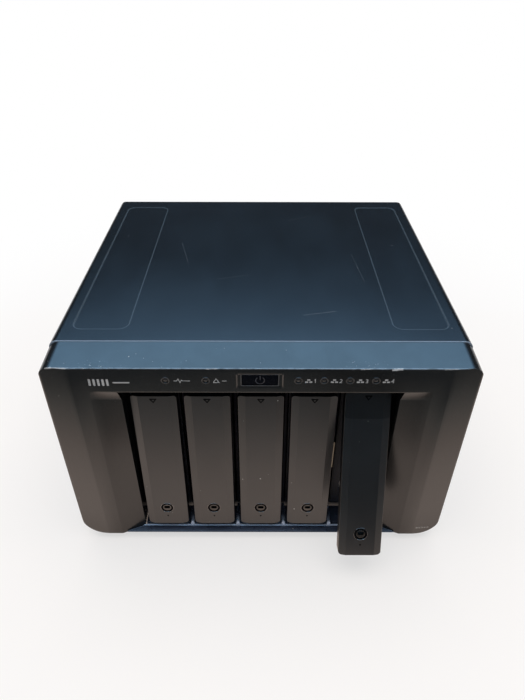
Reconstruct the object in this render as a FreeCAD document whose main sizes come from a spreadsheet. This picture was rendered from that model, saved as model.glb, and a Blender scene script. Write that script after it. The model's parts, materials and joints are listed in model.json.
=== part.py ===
import FreeCAD, Part
import os
import Sketcher

# Five-bay desktop storage unit. Millimetres, +Z up, front face towards -Y.
# Origin: on the table under the middle of the unit's overall outline.
# Pieces are drawn with y = 0 on the front plane, then moved back to that origin.
# Left and right are as seen from the front: left is -X.

Vector = FreeCAD.Vector
PI = 3.141592653589793
SIDES = (("left", -1), ("right", 1))

doc = FreeCAD.newDocument("storage_unit")
sheet = doc.addObject("Spreadsheet::Sheet", "dims")

# alias, value, note
TABLE = [
    ("front_y", -102.9555, "front plane, set so that the outline is centred"),
    ("bezel_width", 248.0, "bezel width"),
    ("top_z", 157.0, "top of the cover"),
    ("back_y", 231.0, "rear edge of the cover, from the front plane"),
    ("seam_y", 22.5, "bezel depth, where the cover starts"),
    ("cover_width", 246.6, "cover width"),
    ("cover_sheet", 1.0, "cover sheet thickness"),
    ("fold_radius", 5.0, "outer radius of the cover fold"),
    ("crease_z", 154.8, "height of the front crease"),
    ("bezel_low_z", 6.5, "bezel underside"),
    ("bezel_low_radius", 15.0, "bezel lower corner radius"),
    ("bezel_top_radius", 6.0, "bezel upper corner radius"),
    ("facet_x", 106.5, "start of the angled outer facet"),
    ("facet_fall", 1.5, "how far the facet falls back"),
    ("lip_z", 137.8, "top lip of the bay recess"),
    ("scoop_x", 97.0, "outer edge of a finger scoop"),
    ("opening_half", 81.5, "half width of the bay opening"),
    ("scoop_depth", 6.0, "depth of a finger scoop"),
    ("foot_radius", 10.0, "foot radius"),
    ("foot_x", 104.0, "foot centre to the middle"),
    ("foot_front_y", 42.0, "front feet"),
    ("foot_rear_y", 208.0, "rear feet"),
    ("foot_height", 5.2, "foot height"),
    ("pan_sheet", 1.2, "base sheet thickness"),
    ("cage_half", 81.0, "cage half width"),
    ("cage_front_y", 23.0, "cage front"),
    ("cage_back_y", 172.0, "cage back"),
    ("cage_low_z", 12.0, "cage bottom"),
    ("cage_top_z", 130.0, "cage top"),
    ("bay_pitch", 32.0, "bay spacing"),
    ("bay_width", 30.4, "bay width in the cage"),
    ("pin_y", 14.5, "hinge pin from the front plane"),
    ("pin_z", 119.7, "hinge pin height"),
    ("pin_radius", 1.0, "hinge pin radius"),
    ("lean", 3.3, "lean of a closed handle, degrees"),
    ("swing", 17.0, "opening of the fifth handle, degrees"),
    ("handle_width", 27.6, "handle width"),
    ("handle_above", 6.6, "handle above the pin"),
    ("handle_below", 105.0, "handle below the pin"),
    ("handle_front", 5.7, "handle face in front of the pin"),
    ("lock_below", 89.9, "lock below the pin"),
    ("lock_radius", 3.95, "lock plug radius"),
    ("fan_side", 80.0, "fan frame side"),
    ("fan_left_x", -48.0, "left fan centre"),
    ("fan_right_x", 36.0, "right fan centre"),
    ("fan_z", 112.0, "fan centre height"),
    ("fan_screw_pitch", 71.5, "fan screw spacing"),
    ("panel_front_y", 228.8, "rear panel, inner face"),
    ("panel_back_y", 230.0, "rear panel, outer face"),
    ("lamp_z", 146.6, "indicator row height"),
    ("drive_thick", 26.1, "drive thickness, along X"),
    ("drive_height", 101.6, "drive width, standing along Z"),
    ("drive_length", 147.0, "drive length, along Y"),
]

OPERATIONS = {"+": float.__add__, "-": float.__sub__,
              "*": float.__mul__, "/": float.__truediv__}


class Dim:
    """A size that carries its number and its sheet formula together."""

    def __init__(self, number, formula, bound=True):
        self.number = float(number)
        self.formula = formula
        self.bound = bound

    __add__ = lambda self, other: combine(self, "+", other)
    __radd__ = lambda self, other: combine(other, "+", self)
    __sub__ = lambda self, other: combine(self, "-", other)
    __rsub__ = lambda self, other: combine(other, "-", self)
    __mul__ = lambda self, other: combine(self, "*", other)
    __rmul__ = lambda self, other: combine(other, "*", self)
    __truediv__ = lambda self, other: combine(self, "/", other)
    __neg__ = lambda self: combine(0, "-", self)


def dim(value):
    """Any number as a Dim; a plain number depends on no cell."""
    return value if isinstance(value, Dim) else Dim(value, "(%r)" % float(value), False)


def combine(left, sign, right):
    left, right = dim(left), dim(right)
    return Dim(OPERATIONS[sign](left.number, right.number),
               "(%s %s %s)" % (left.formula, sign, right.formula),
               left.bound or right.bound)


class Dims:
    """The driving dimensions, one attribute for each alias."""


dims = Dims()
for line_number, (alias, value, note) in enumerate(TABLE, 1):
    sheet.set("A%d" % line_number, note)
    sheet.set("B%d" % line_number, str(value))
    sheet.setAlias("B%d" % line_number, alias)
    setattr(dims, alias, Dim(value, "dims." + alias))
doc.recompute()


# ---------------------------------------------------------------- ranges

def around(centre, reach):
    """The range that reaches equally far to both sides of a centre."""
    return (centre - reach, centre + reach)


def grow(span, gap):
    """A range widened by a gap at both ends."""
    return (span[0] - gap, span[1] + gap)


def beside(side, inner, outer):
    """The X range from inner to outer on the left (-1) or right (1)."""
    return (inner, outer) if side > 0 else (-outer, -inner)


# ---------------------------------------------------------------- bodies and sketches

PARTS = []


def bind(item, prop, value):
    item.setExpression(prop, dim(value).formula)


def place(item, x, y=0, z=0):
    """Put an object's own origin at x, z and at y from the front plane."""
    bind(item, "Placement.Base.x", x)
    bind(item, "Placement.Base.y", dims.front_y + y)
    bind(item, "Placement.Base.z", z)


def add_body(label, group=False):
    """A new piece; a group may hold several separate solids."""
    body = doc.addObject("PartDesign::Body", label)
    body.Label = label
    if group:
        body.AllowCompound = True
    PARTS.append(body)
    return body


def new_body(label, x=0, z=0, group=False):
    body = add_body(label, group)
    place(body, x, z=z)
    return body


def origin_feature(body, role):
    return next(f for f in body.Origin.OriginFeatures if f.Role == role)


def start(body, name, plane, offset):
    sketch = body.newObject("Sketcher::SketchObject", name)
    sketch.AttachmentSupport = [(origin_feature(body, plane + "_Plane"), "")]
    sketch.MapMode = "FlatFace"
    bind(sketch, "AttachmentOffset.Base.z", offset)
    return sketch


def constrain(sketch, value, *terms):
    """Add a sized constraint, bound to the sheet where its value depends on it."""
    value = dim(value)
    index = sketch.addConstraint(Sketcher.Constraint(*terms, value.number))
    if value.bound:
        sketch.setExpression("Constraints[%d]" % index, value.formula)


def hold(sketch, kind, geometry, point, value):
    """Fix a point's distance from the sketch origin."""
    constrain(sketch, value, kind, -1, 1, geometry, point)


def line(x0, y0, x1, y1):
    return Part.LineSegment(Vector(x0, y0, 0), Vector(x1, y1, 0))


def quarter_arc(x, y, radius, quarter):
    """A quarter circle; quarter 0 starts at +X, then anticlockwise."""
    circle = Part.Circle(Vector(x, y, 0), Vector(0, 0, 1), radius)
    return Part.ArcOfCircle(circle, quarter * PI / 2, (quarter + 1) * PI / 2)


def outline(sketch, points):
    points = [(dim(x), dim(y)) for x, y in points]
    first = sketch.GeometryCount
    count = len(points)
    for i in range(count):
        (x0, y0), (x1, y1) = points[i], points[(i + 1) % count]
        sketch.addGeometry(line(x0.number, y0.number, x1.number, y1.number), False)
    for i in range(count):
        sketch.addConstraint(Sketcher.Constraint(
            "Coincident", first + i, 2, first + (i + 1) % count, 1))
    for i, (x, y) in enumerate(points):
        hold(sketch, "DistanceX", first + i, 1, x)
        hold(sketch, "DistanceY", first + i, 1, y)


def rect(sketch, x_range, y_range, radius=None):
    left, right = x_range
    low, high = y_range
    if radius is None:
        outline(sketch, [(left, low), (right, low), (right, high), (left, high)])
        return
    x0, x1, y0, y1 = [dim(v).number for v in (left, right, low, high)]
    r = dim(radius).number
    first = sketch.GeometryCount
    sketch.addGeometry([
        line(x0 + r, y0, x1 - r, y0), quarter_arc(x1 - r, y0 + r, r, 3),
        line(x1, y0 + r, x1, y1 - r), quarter_arc(x1 - r, y1 - r, r, 0),
        line(x1 - r, y1, x0 + r, y1), quarter_arc(x0 + r, y1 - r, r, 1),
        line(x0, y1 - r, x0, y0 + r), quarter_arc(x0 + r, y0 + r, r, 2)], False)
    for i in range(8):
        sketch.addConstraint(Sketcher.Constraint(
            "Tangent", first + i, 2, first + (i + 1) % 8, 1))
    for i in (0, 4):
        sketch.addConstraint(Sketcher.Constraint("Horizontal", first + i))
    for i in (2, 6):
        sketch.addConstraint(Sketcher.Constraint("Vertical", first + i))
    for i in (3, 5, 7):
        sketch.addConstraint(Sketcher.Constraint("Equal", first + 1, first + i))
    constrain(sketch, radius, "Radius", first + 1)
    hold(sketch, "DistanceY", first, 1, low)
    hold(sketch, "DistanceX", first + 2, 1, right)
    hold(sketch, "DistanceY", first + 4, 1, high)
    hold(sketch, "DistanceX", first + 6, 1, left)


def disc(sketch, x, y, radius):
    x, y, radius = dim(x), dim(y), dim(radius)
    index = sketch.GeometryCount
    centre = Vector(x.number, y.number, 0)
    sketch.addGeometry(Part.Circle(centre, Vector(0, 0, 1), radius.number), False)
    hold(sketch, "DistanceX", index, 3, x)
    hold(sketch, "DistanceY", index, 3, y)
    constrain(sketch, radius, "Radius", index)


def discs(centres, radius):
    return [(disc, x, y, radius) for x, y in centres]


# ---------------------------------------------------------------- features

def extrude(kind, body, name, plane, span, shapes):
    """Pad or pocket over a span along the axis square to the plane.

    An XY sketch holds (x, y) and runs along Z, XZ holds (x, z) and runs along Y,
    YZ holds (y, z) and runs along X. Each shape is a drawing function and its arguments."""
    low, high = dim(span[0]), dim(span[1])
    cut = kind == "Pocket"
    if plane == "XZ":  # its normal points to -Y
        offset = -low if cut else -high
    else:
        offset = high if cut else low
    sketch = start(body, name + "_sketch", plane, offset)
    for draw, *sizes in shapes:
        draw(sketch, *sizes)
    feature = body.newObject("PartDesign::" + kind, name)
    feature.Profile = sketch
    bind(feature, "Length", high - low)
    body.Tip = feature
    return feature


def pad(*args):
    return extrude("Pad", *args)


def pocket(*args):
    return extrude("Pocket", *args)


def box(body, name, x_range, y_range, z_range, radius=None):
    return pad(body, name, "XY", z_range, [(rect, x_range, y_range, radius)])


def box_cut(body, name, x_range, y_range, z_range, radius=None):
    return pocket(body, name, "XY", z_range, [(rect, x_range, y_range, radius)])


def row(body, name, feature, direction, length, count):
    """Repeat a feature; length runs from the first to the last."""
    pattern = body.newObject("PartDesign::LinearPattern", name)
    pattern.Originals = [feature]
    pattern.Direction = (feature.Profile[0], [direction])
    bind(pattern, "Length", length)
    pattern.Occurrences = count
    body.Tip = pattern


def near(a, b, tolerance=0.05):
    return abs(a - b) < tolerance


def edge_fits(bounds, axis, width, sides):
    """Whether an edge's bounds run along the axis, have the width and lie at the sides."""
    spans = {"X": bounds.XLength, "Y": bounds.YLength, "Z": bounds.ZLength}
    if axis and not (spans.pop(axis) > 0.5 and all(s < 0.05 for s in spans.values())):
        return False
    if width and not near(bounds.XLength, dim(width).number, 0.2):
        return False
    for side, places in sides.items():
        places = places if isinstance(places, tuple) else (places,)
        if not any(near(getattr(bounds, side), dim(p).number) for p in places):
            return False
    return True


def soften(body, name, size, axis=None, width=None, kind="Fillet", **sides):
    """Fillet or chamfer the edges found by their bounds, such as ZMin=4."""
    doc.recompute()
    base = body.Tip
    names = ["Edge%d" % i for i, edge in enumerate(base.Shape.Edges, 1)
             if edge_fits(edge.BoundBox, axis, width, sides)]
    if not names:
        raise RuntimeError("%s: no edge for %s" % (body.Label, name))
    feature = body.newObject("PartDesign::" + kind, name)
    feature.Base = (base, names)
    bind(feature, "Radius" if kind == "Fillet" else "Size", size)
    body.Tip = feature


# ---------------------------------------------------------------- shared places

FEET = [(x, y) for x in (-dims.foot_x, dims.foot_x)
        for y in (dims.foot_front_y, dims.foot_rear_y)]           # x, y
COVER_SCREWS = [(x, z) for x in (-119, 119) for z in (30, 130)]  # x, z
FANS = (("left", dims.fan_left_x), ("right", dims.fan_right_x))
BAY_CENTRES = [dims.bay_pitch * k for k in range(-2, 3)]
LAMPS = [(x, dims.lamp_z) for x in (-53.6, -31.2, 20.4, 34.7, 49.1, 63.6)]
BUTTON_X, BUTTON_Z = (-11.3, 8.7), (142.7, 150.4)  # hole for the power button
RESET = (-92, 24)                                  # x, z of the reset button
BOARD_LOW_Z, BOARD_TOP_Z = 14, 15.6                # main board
JACK_FACE_Y = 230.6                                # outer face of jacks and inlet
LAN_X, LAN_HALF, LAN_TOP_Z = (9, 26, 43, 60), 8, 29.1
USB_X, USB_HALF, USB_TOP_Z = (-12, -54, -72), 7, 31.6
ESATA_X, ESATA_HALF, ESATA_TOP_Z = -33, 8, 27.6    # the pair together
INLET_X, INLET_Z = (88, 111), (22, 50)


def fan_corners(x):
    """Centres (x, z) of the four screws of a fan."""
    reach = dims.fan_screw_pitch / 2
    return [(x + sx * reach, dims.fan_z + sz * reach) for sx in (-1, 1) for sz in (-1, 1)]


FAN_SCREWS = [corner for tag, x in FANS for corner in fan_corners(x)]

# ---------------------------------------------------------------- outer shell

# Folded cover: roof and two sides in one sheet
cover_half = dims.cover_width / 2
inner_half = cover_half - dims.cover_sheet
inner_top = dims.top_z - dims.cover_sheet
cover_low_z = 6.2

body = new_body("top_cover")
pad(body, "shell", "XZ", (dims.seam_y, dims.back_y), [(outline, [
    (-cover_half, cover_low_z), (-cover_half, dims.top_z),
    (cover_half, dims.top_z), (cover_half, cover_low_z),
    (inner_half, cover_low_z), (inner_half, inner_top),
    (-inner_half, inner_top), (-inner_half, cover_low_z)])])
soften(body, "outer_fold", dims.fold_radius, "Y",
       XMin=(-cover_half, cover_half), ZMin=dims.top_z)
soften(body, "inner_fold", dims.fold_radius - dims.cover_sheet, "Y",
       XMin=(-inner_half, inner_half), ZMin=inner_top)
for tag, side in SIDES:
    # shallow panel sunk in the roof, then the rear return flange
    box_cut(body, "panel_" + tag, beside(side, 79.5, 113), (35.3, 218.6),
            (dims.top_z - 0.45, dims.top_z + 1), 6)
    pad(body, "flange_" + tag, "XZ", (dims.panel_back_y, dims.back_y),
        [(rect, beside(side, 115.8, inner_half), (10, 150))])
pocket(body, "screw_holes", "XZ", (dims.panel_back_y - 0.5, dims.back_y + 1),
       discs(COVER_SCREWS, 1.6))
for tag, side in reversed(SIDES):
    vent = pocket(body, "vent_" + tag, "YZ", beside(side, 121, 125),
                  [(rect, (60, 63), (52, 86), 1.4)])
    row(body, "vents_" + tag, vent, "H_Axis", 96, 13)

# Moulded bezel
bezel_half = dims.bezel_width / 2
facet_end_y = dims.facet_fall * 0.714  # where the facet meets the rounded side
# distance in from the side, depth behind facet_end_y
ROUNDED_SIDE = ((5, 0), (3.2, 0.45), (1.6, 1.35), (0.5, 2.7), (0, 4.6))
# distance from the middle, y: outline of the hollow behind each side of the face
HOLLOW = ((84.4, 24), (84.4, 8.4), (98.4, 3.2), (106, 2.8), (118.6, 4.2), (121, 7.6), (121, 24))

body = new_body("front_bezel")
pad(body, "block", "XZ", (0, dims.seam_y),
    [(rect, around(0, bezel_half), (dims.bezel_low_z, dims.top_z))])
soften(body, "low_corners", dims.bezel_low_radius, "Y",
       XMin=(-bezel_half, bezel_half), ZMin=dims.bezel_low_z)
soften(body, "top_corners", dims.bezel_top_radius, "Y",
       XMin=(-bezel_half, bezel_half), ZMin=dims.top_z)
for tag, side in SIDES:
    pocket(body, "facet_" + tag, "XY", (0, 170), [(outline,
        [(side * dims.facet_x, 0)]
        + [(side * (bezel_half - inset), facet_end_y + depth) for inset, depth in ROUNDED_SIDE]
        + [(side * (bezel_half + 4), facet_end_y + ROUNDED_SIDE[-1][1]),
           (side * (bezel_half + 4), -3), (side * dims.facet_x, -3)])])
pocket(body, "top_slope", "YZ", around(0, 130), [(outline, [
    (-3, dims.crease_z - 0.3), (0, dims.crease_z), (dims.seam_y + 1, dims.top_z + 0.1),
    (dims.seam_y + 1, 162), (-3, 162)])])
pocket(body, "bay_recess", "XY", (0, dims.lip_z), [(outline, [
    (-dims.scoop_x, -2), (-dims.scoop_x, 0),
    (-dims.opening_half, dims.scoop_depth), (-dims.opening_half, 24),
    (dims.opening_half, 24), (dims.opening_half, dims.scoop_depth),
    (dims.scoop_x, 0), (dims.scoop_x, -2)])])
for tag, side in SIDES:
    pocket(body, "hollow_" + tag, "XY", (10, 135),
           [(outline, [(side * x, y) for x, y in HOLLOW])])
pocket(body, "band_hollow", "XZ", (3, 24), [(rect, around(0, 106), (140.3, 152.2))])
pocket(body, "button_frame", "XZ", (-1, 0.7), [(rect, (-14.3, 12.0), (140.9, 151.5), 0.8)])
pocket(body, "button_hole", "XZ", (-1, 4), [(rect, BUTTON_X, BUTTON_Z, 0.6)])
pocket(body, "lamp_holes", "XZ", (-1, 4), discs(LAMPS, 1.6))
soften(body, "crease", 1.2, "X", YMin=0, ZMin=dims.crease_z)
soften(body, "lip", 1.4, "X", YMin=0, ZMin=dims.lip_z)

# Sill under the trays, with a stub between each pair of bays
sill_half, nose_half = 81.1, 95.2
nose_y = 0.4

body = new_body("front_sill")
pad(body, "ledge", "XY", (dims.bezel_low_z, 9.0), [(outline, [
    (-nose_half, nose_y), (-sill_half, 5.8), (-sill_half, 22.3),
    (sill_half, 22.3), (sill_half, 5.8), (nose_half, nose_y)])])
soften(body, "nose", 0.8, "X", kind="Chamfer", YMin=nose_y)
box_cut(body, "gutter", around(0, sill_half), (6.7, 7.9), (7.6, 9.5))
stub = box(body, "stub", around(-dims.bay_pitch * 1.5, 1), (4.9, 22), (7, 12.4))
row(body, "stubs", stub, "H_Axis", dims.bay_pitch * 3, 4)

# Base pan
pan_half = 122
pan_y = (24, 228.6)
pan_top = dims.foot_height + dims.pan_sheet
sunk_z = dims.foot_height + 1  # walls and posts start inside the floor sheet
through_floor = (dims.foot_height - 1, dims.foot_height + 2)

body = new_body("base_pan")
box(body, "floor", around(0, pan_half), pan_y, (dims.foot_height, pan_top))
for tag, side in SIDES:
    box(body, "wall_" + tag, beside(side, pan_half - dims.pan_sheet, pan_half), pan_y,
        (sunk_z, 18))
box(body, "wall_front", around(0, 118), (pan_y[0], pan_y[0] + dims.pan_sheet), (sunk_z, 11.8))
pad(body, "posts", "XY", (sunk_z, BOARD_LOW_Z),
    discs([(x, y) for x in (-112, 76) for y in (183, 221)], 3))
pocket(body, "foot_holes", "XY", through_floor, discs(FEET, 1.6))
box_cut(body, "hatch_hole", (-70, 2), (187, 220), through_floor, 3)
intake = box_cut(body, "intake", (-80, -77), (40, 100), through_floor, 1.4)
row(body, "intakes", intake, "H_Axis", 156, 27)

# Rear panel
through_panel = (228, 231)
side_gap, height_gap = 0.2, 0.3  # clearance of the openings around the jacks
jacks = [(x, LAN_HALF, LAN_TOP_Z) for x in LAN_X]
jacks += [(x, USB_HALF, USB_TOP_Z) for x in USB_X]
jacks += [(ESATA_X, ESATA_HALF, ESATA_TOP_Z)]
openings = [(rect, around(x, half + side_gap), grow((BOARD_TOP_Z, top), height_gap))
            for x, half, top in jacks]
openings += [(rect, (85.5, 113.5), (16, 98), 1),      # power supply
             (disc, *RESET, 1.55),
             (rect, (-114, -107), (58, 61), 1.2)]     # small slot

body = new_body("rear_panel")
pad(body, "plate", "XZ", (dims.panel_front_y, dims.panel_back_y),
    [(rect, around(0, 121.8), (6.6, 155.6), 4.4)])
pocket(body, "fan_holes", "XZ", through_panel, discs([(x, dims.fan_z) for tag, x in FANS], 37.5))
pocket(body, "fan_screw_holes", "XZ", through_panel, discs(FAN_SCREWS, 2.2))
pocket(body, "cover_screw_holes", "XZ", through_panel, discs(COVER_SCREWS, 1.6))
pocket(body, "ports", "XZ", through_panel, openings)
air = pocket(body, "air", "XZ", through_panel, [(rect, (-112, -109.4), (80, 140), 1.2)])
row(body, "air_row", air, "H_Axis", 15, 4)

# ---------------------------------------------------------------- inside

# Drive cage
cage_sheet = 1.6
cage_y = (dims.cage_front_y, dims.cage_back_y)
cage_z = (dims.cage_low_z, dims.cage_top_z)

body = new_body("drive_cage")
box(body, "frame", around(0, dims.cage_half), cage_y, cage_z)
bay = box_cut(body, "bay", around(BAY_CENTRES[0], dims.bay_width / 2),
              grow(cage_y, 1), grow(cage_z, -cage_sheet))
row(body, "bays", bay, "H_Axis", dims.bay_pitch * 4, 5)
pocket(body, "windows", "YZ", around(0, 90),
       [(rect, (40 + 44 * k, 76 + 44 * k), (30, 112), 8) for k in range(3)])
box(body, "brow", around(0, 88), (dims.cage_front_y, dims.cage_front_y + 1.2),
    (dims.cage_top_z - cage_sheet, 142))
for tag, side in SIDES:
    box(body, "skid_" + tag, beside(side, dims.cage_half - 2, dims.cage_half), (30, 165),
        (pan_top, dims.cage_low_z + 1))

# Backplane, standing behind the cage
backplane_y = (176, 177.6)

body = new_body("backplane_board")
pad(body, "board", "XZ", backplane_y, [(rect, around(0, 80), (16, 128), 1)])
pocket(body, "air", "XZ", (175, 179), [(rect, around(x, 9), (80, 122), 3) for x in BAY_CENTRES])
box(body, "edge_plug", around(0, 30), (backplane_y[1], 182), (18, 24))

# One socket for each bay
body = new_body("sata_sockets", group=True)
pad(body, "blocks", "XZ", (172, backplane_y[0]),
    [(rect, around(x, 4), (28, 74)) for x in BAY_CENTRES])
pad(body, "tongues", "XZ", (167, 173), [(rect, around(x, 1.5), (31, 71)) for x in BAY_CENTRES])

# Main board; its parts are sunk 0.4 into it
part_low_z = BOARD_TOP_Z - 0.4
processor_top_z = 17.5
# name, x range, y range, z range
BOARD_PARTS = (
    ("board", (-116, 80), (179, 226), (BOARD_LOW_Z, BOARD_TOP_Z)),
    ("processor", (6, 24), (186, 204), (part_low_z, processor_top_z)),
    ("power_socket", (63, 77), (185, 195), (part_low_z, 24)),
    ("reset_switch", (-95, -89), (217, 223), (part_low_z, 27)),
    ("memory_socket", (-70, 2), (218.2, 223), (8.4, 14.4)),
    ("chip_a", (-96, -82), (181, 192), (part_low_z, 17)),
    ("chip_b", (-70, -58), (184, 194), (part_low_z, 16.8)),
)

body = new_body("main_board")
for name, x_range, y_range, z_range in BOARD_PARTS:
    box(body, name, x_range, y_range, z_range)
pad(body, "capacitors", "XY", (part_low_z, 25), discs([(x, 186) for x in (-48, -39, -30)], 3.2))

# Heatsink: a block with nine gaps between its fins
body = new_body("processor_heatsink")
box(body, "block", (-5, 35), (183, 206), (processor_top_z, 38))
gap = box_cut(body, "gap", (-2.8, -0.8), (182, 207), (20.5, 39))
row(body, "gaps", gap, "H_Axis", 33.6, 9)

# Memory card, lying under the main board with its chips downwards
body = new_body("memory_module")
box(body, "card", (-67.6, 0), (188, 218.2), (9.6, 10.8))
chip = box(body, "chip", (-63, -51), (193, 205), (8.6, 9.8))
row(body, "chips", chip, "H_Axis", 46, 4)

# Hatch under the base pan
hatch_low_z = 4.0

body = new_body("memory_hatch")
box(body, "plate", (-74, 6), (183, 224), (hatch_low_z, dims.foot_height), 4)
soften(body, "rim", 0.4, kind="Chamfer", ZMin=hatch_low_z, ZMax=hatch_low_z)
box_cut(body, "finger_notch", (-40, -28), (181, 186), (3, dims.foot_height + 1))

# Coin cell on the main board
cell_top_z = 18.8

body = new_body("coin_cell")
pad(body, "cell", "XY", (BOARD_TOP_Z, cell_top_z), [(disc, -81, 203, 8)])
soften(body, "rim", 0.8, ZMin=cell_top_z, ZMax=cell_top_z)

# Jacks; each mouth opens to the rear
body = new_body("lan_jacks", group=True)
pad(body, "shells", "XZ", (209, JACK_FACE_Y),
    [(rect, around(x, LAN_HALF), (BOARD_TOP_Z, LAN_TOP_Z)) for x in LAN_X])
pocket(body, "mouths", "XZ", (216, 232), [(rect, around(x, 5.9), (18, 25.2)) for x in LAN_X])
pocket(body, "latch_ways", "XZ", (216, 232), [(rect, around(x, 3), (25, 27.6)) for x in LAN_X])

USB_MOUTHS_Z = ((17.2, 18.9), (24.8, 26.5), (20.6, 22), (28.2, 29.6))

body = new_body("usb_jacks", group=True)
pad(body, "shells", "XZ", (212, JACK_FACE_Y),
    [(rect, around(x, USB_HALF), (BOARD_TOP_Z, USB_TOP_Z)) for x in USB_X])
pocket(body, "mouths", "XZ", (219, 232),
       [(rect, around(x, 6), z_range) for x in USB_X for z_range in USB_MOUTHS_Z])

body = new_body("esata_jacks", group=True)
pad(body, "shells", "XZ", (214, JACK_FACE_Y),
    [(rect, x_range, (BOARD_TOP_Z, ESATA_TOP_Z))
     for x_range in ((ESATA_X - ESATA_HALF, -33.5), (-32.5, ESATA_X + ESATA_HALF))])
pocket(body, "mouths", "XZ", (222, 232),
       [(rect, x_range, (17, 26.2)) for x_range in ((-38.8, -36.6), (-30.3, -28.1))])

# Power supply: a case with air slots at both ends
supply_x, supply_z = (83.5, 115.5), (14, 100)
supply_wall = 1.6
slot_x = (88, 111)

body = new_body("power_supply")
box(body, "case", supply_x, (100, 228.7), supply_z)
box_cut(body, "inside", grow(supply_x, -supply_wall), (100 + supply_wall, 205),
        grow(supply_z, -supply_wall))
box_cut(body, "inlet_way", grow(INLET_X, 0.1), (212, 229), grow(INLET_Z, 0.1))
air = pocket(body, "air", "XZ", (222, 229), [(rect, slot_x, (58, 60), 0.9)])
row(body, "air_row", air, "V_Axis", 32, 9)
air = pocket(body, "air_front", "XZ", (99, 104), [(rect, slot_x, (40, 42), 0.9)])
row(body, "air_front_row", air, "V_Axis", 48, 13)
soften(body, "edges", 1, "Y", XMin=supply_x, ZMin=supply_z)

# Mains inlet with three flat pins
body = new_body("power_inlet")
pad(body, "block", "XZ", (212.1, JACK_FACE_Y), [(rect, INLET_X, INLET_Z, 1)])
pocket(body, "mouth", "XZ", (215, 232), [(outline, [
    (90.5, 25), (105, 25), (108.5, 29), (108.5, 43), (105, 47), (90.5, 47)])])
pad(body, "pins", "XZ", (214, 227), [
    (rect, (95, 97), (28, 32)), (rect, (95, 97), (40, 44)), (rect, (102, 104), (34, 38))])

# Indicator board and light pipes behind the bezel
lamp_board_y = 10

body = new_body("lamp_board")
pad(body, "board", "XZ", (lamp_board_y, 11.6), [(rect, (-70, 80), (141.5, 151.5), 1)])
pad(body, "button_switch", "XZ", (8.6, 10.4), [(rect, (-4.5, 2), (143.5, 149.5))])

body = new_body("lamp_windows", group=True)
pad(body, "pipes", "XZ", (0.15, lamp_board_y), discs(LAMPS, 1.55))

# ---------------------------------------------------------------- feet and screws

# Feet, each with a well for its screw head
well_z = 3.2

body = new_body("rubber_feet", group=True)
pad(body, "feet", "XY", (0, dims.foot_height), discs(FEET, dims.foot_radius))
pocket(body, "wells", "XY", (-1, well_z), discs(FEET, 3.4))
pocket(body, "bores", "XY", (3, 6), discs(FEET, 1.6))
soften(body, "rims", 1.2, width=dims.foot_radius * 2, ZMin=0, ZMax=0)


def screw_set(label, plane, centres, heads, shanks, slots):
    """Slotted screws. Heads and shanks: span, radius. Slots: span, half length, half width."""
    body = new_body(label, group=True)
    pad(body, "heads", plane, heads[0], discs(centres, heads[1]))
    pad(body, "shanks", plane, shanks[0], discs(centres, shanks[1]))
    span, half_length, half_width = slots
    pocket(body, "slots", plane, span,
           [(rect, around(x, half_length), around(y, half_width)) for x, y in centres])


screw_set("foot_screws", "XY", FEET,
          heads=((1.4, well_z), 3.0), shanks=((3, 9), 1.5), slots=((1, 2.2), 2, 0.4))
screw_set("cover_screws", "XZ", COVER_SCREWS,
          heads=((dims.back_y, dims.back_y + 1.7), 2.9), shanks=((225, 231.5), 1.5),
          slots=((dims.back_y + 0.8, 234), 2, 0.4))
screw_set("fan_screws", "XZ", FAN_SCREWS,
          heads=((231.4, 232.9), 3.6), shanks=((220, 232), 2.0), slots=((232.1, 234), 2.4, 0.45))

# ---------------------------------------------------------------- fans


def wire(kind, name, rotation, x, z, **sizes):
    """One wire of a guard, in the plane of the guard behind the rear panel."""
    item = doc.addObject("Part::" + kind, name)
    for prop, value in sizes.items():
        setattr(item, prop, value)
    item.Placement = FreeCAD.Placement(Vector(0, 0, 0), rotation)
    place(item, x, 230.7, z)
    return item


def wire_guard(tag, x):
    """Four rings, and at each corner a screw eye and a spoke."""
    facing = FreeCAD.Rotation(Vector(1, 0, 0), 90)
    wire_radius = 0.7
    spoke_start = 6.2  # in x and in z from the fan centre
    wires = [wire("Torus", "ring_%s_%d" % (tag, k), facing, x, dims.fan_z,
                  Radius1=radius, Radius2=wire_radius)
             for k, radius in enumerate((9, 18, 27, 36))]
    corners = iter(fan_corners(x))
    for sx in (-1, 1):
        for sz in (-1, 1):
            ending = "_%s_%d_%d" % (tag, sx + 1, sz + 1)
            wires.append(wire("Torus", "eye" + ending, facing, *next(corners),
                              Radius1=3.0, Radius2=wire_radius))
            outward = FreeCAD.Rotation(Vector(0, 0, 1), Vector(sx, 0, sz))
            wires.append(wire("Cylinder", "spoke" + ending, outward, x + sx * spoke_start,
                              dims.fan_z + sz * spoke_start, Radius=0.65, Height=39.4))
    guard = doc.addObject("Part::MultiFuse", "guard_" + tag)
    guard.Shapes = wires
    return guard


guards = [wire_guard(tag, x) for tag, x in FANS]
guard_pair = doc.addObject("Part::Compound", "fan_guards")
guard_pair.Links = guards
guard_pair.Label = "fan_guards"
PARTS.append(guard_pair)


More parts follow.
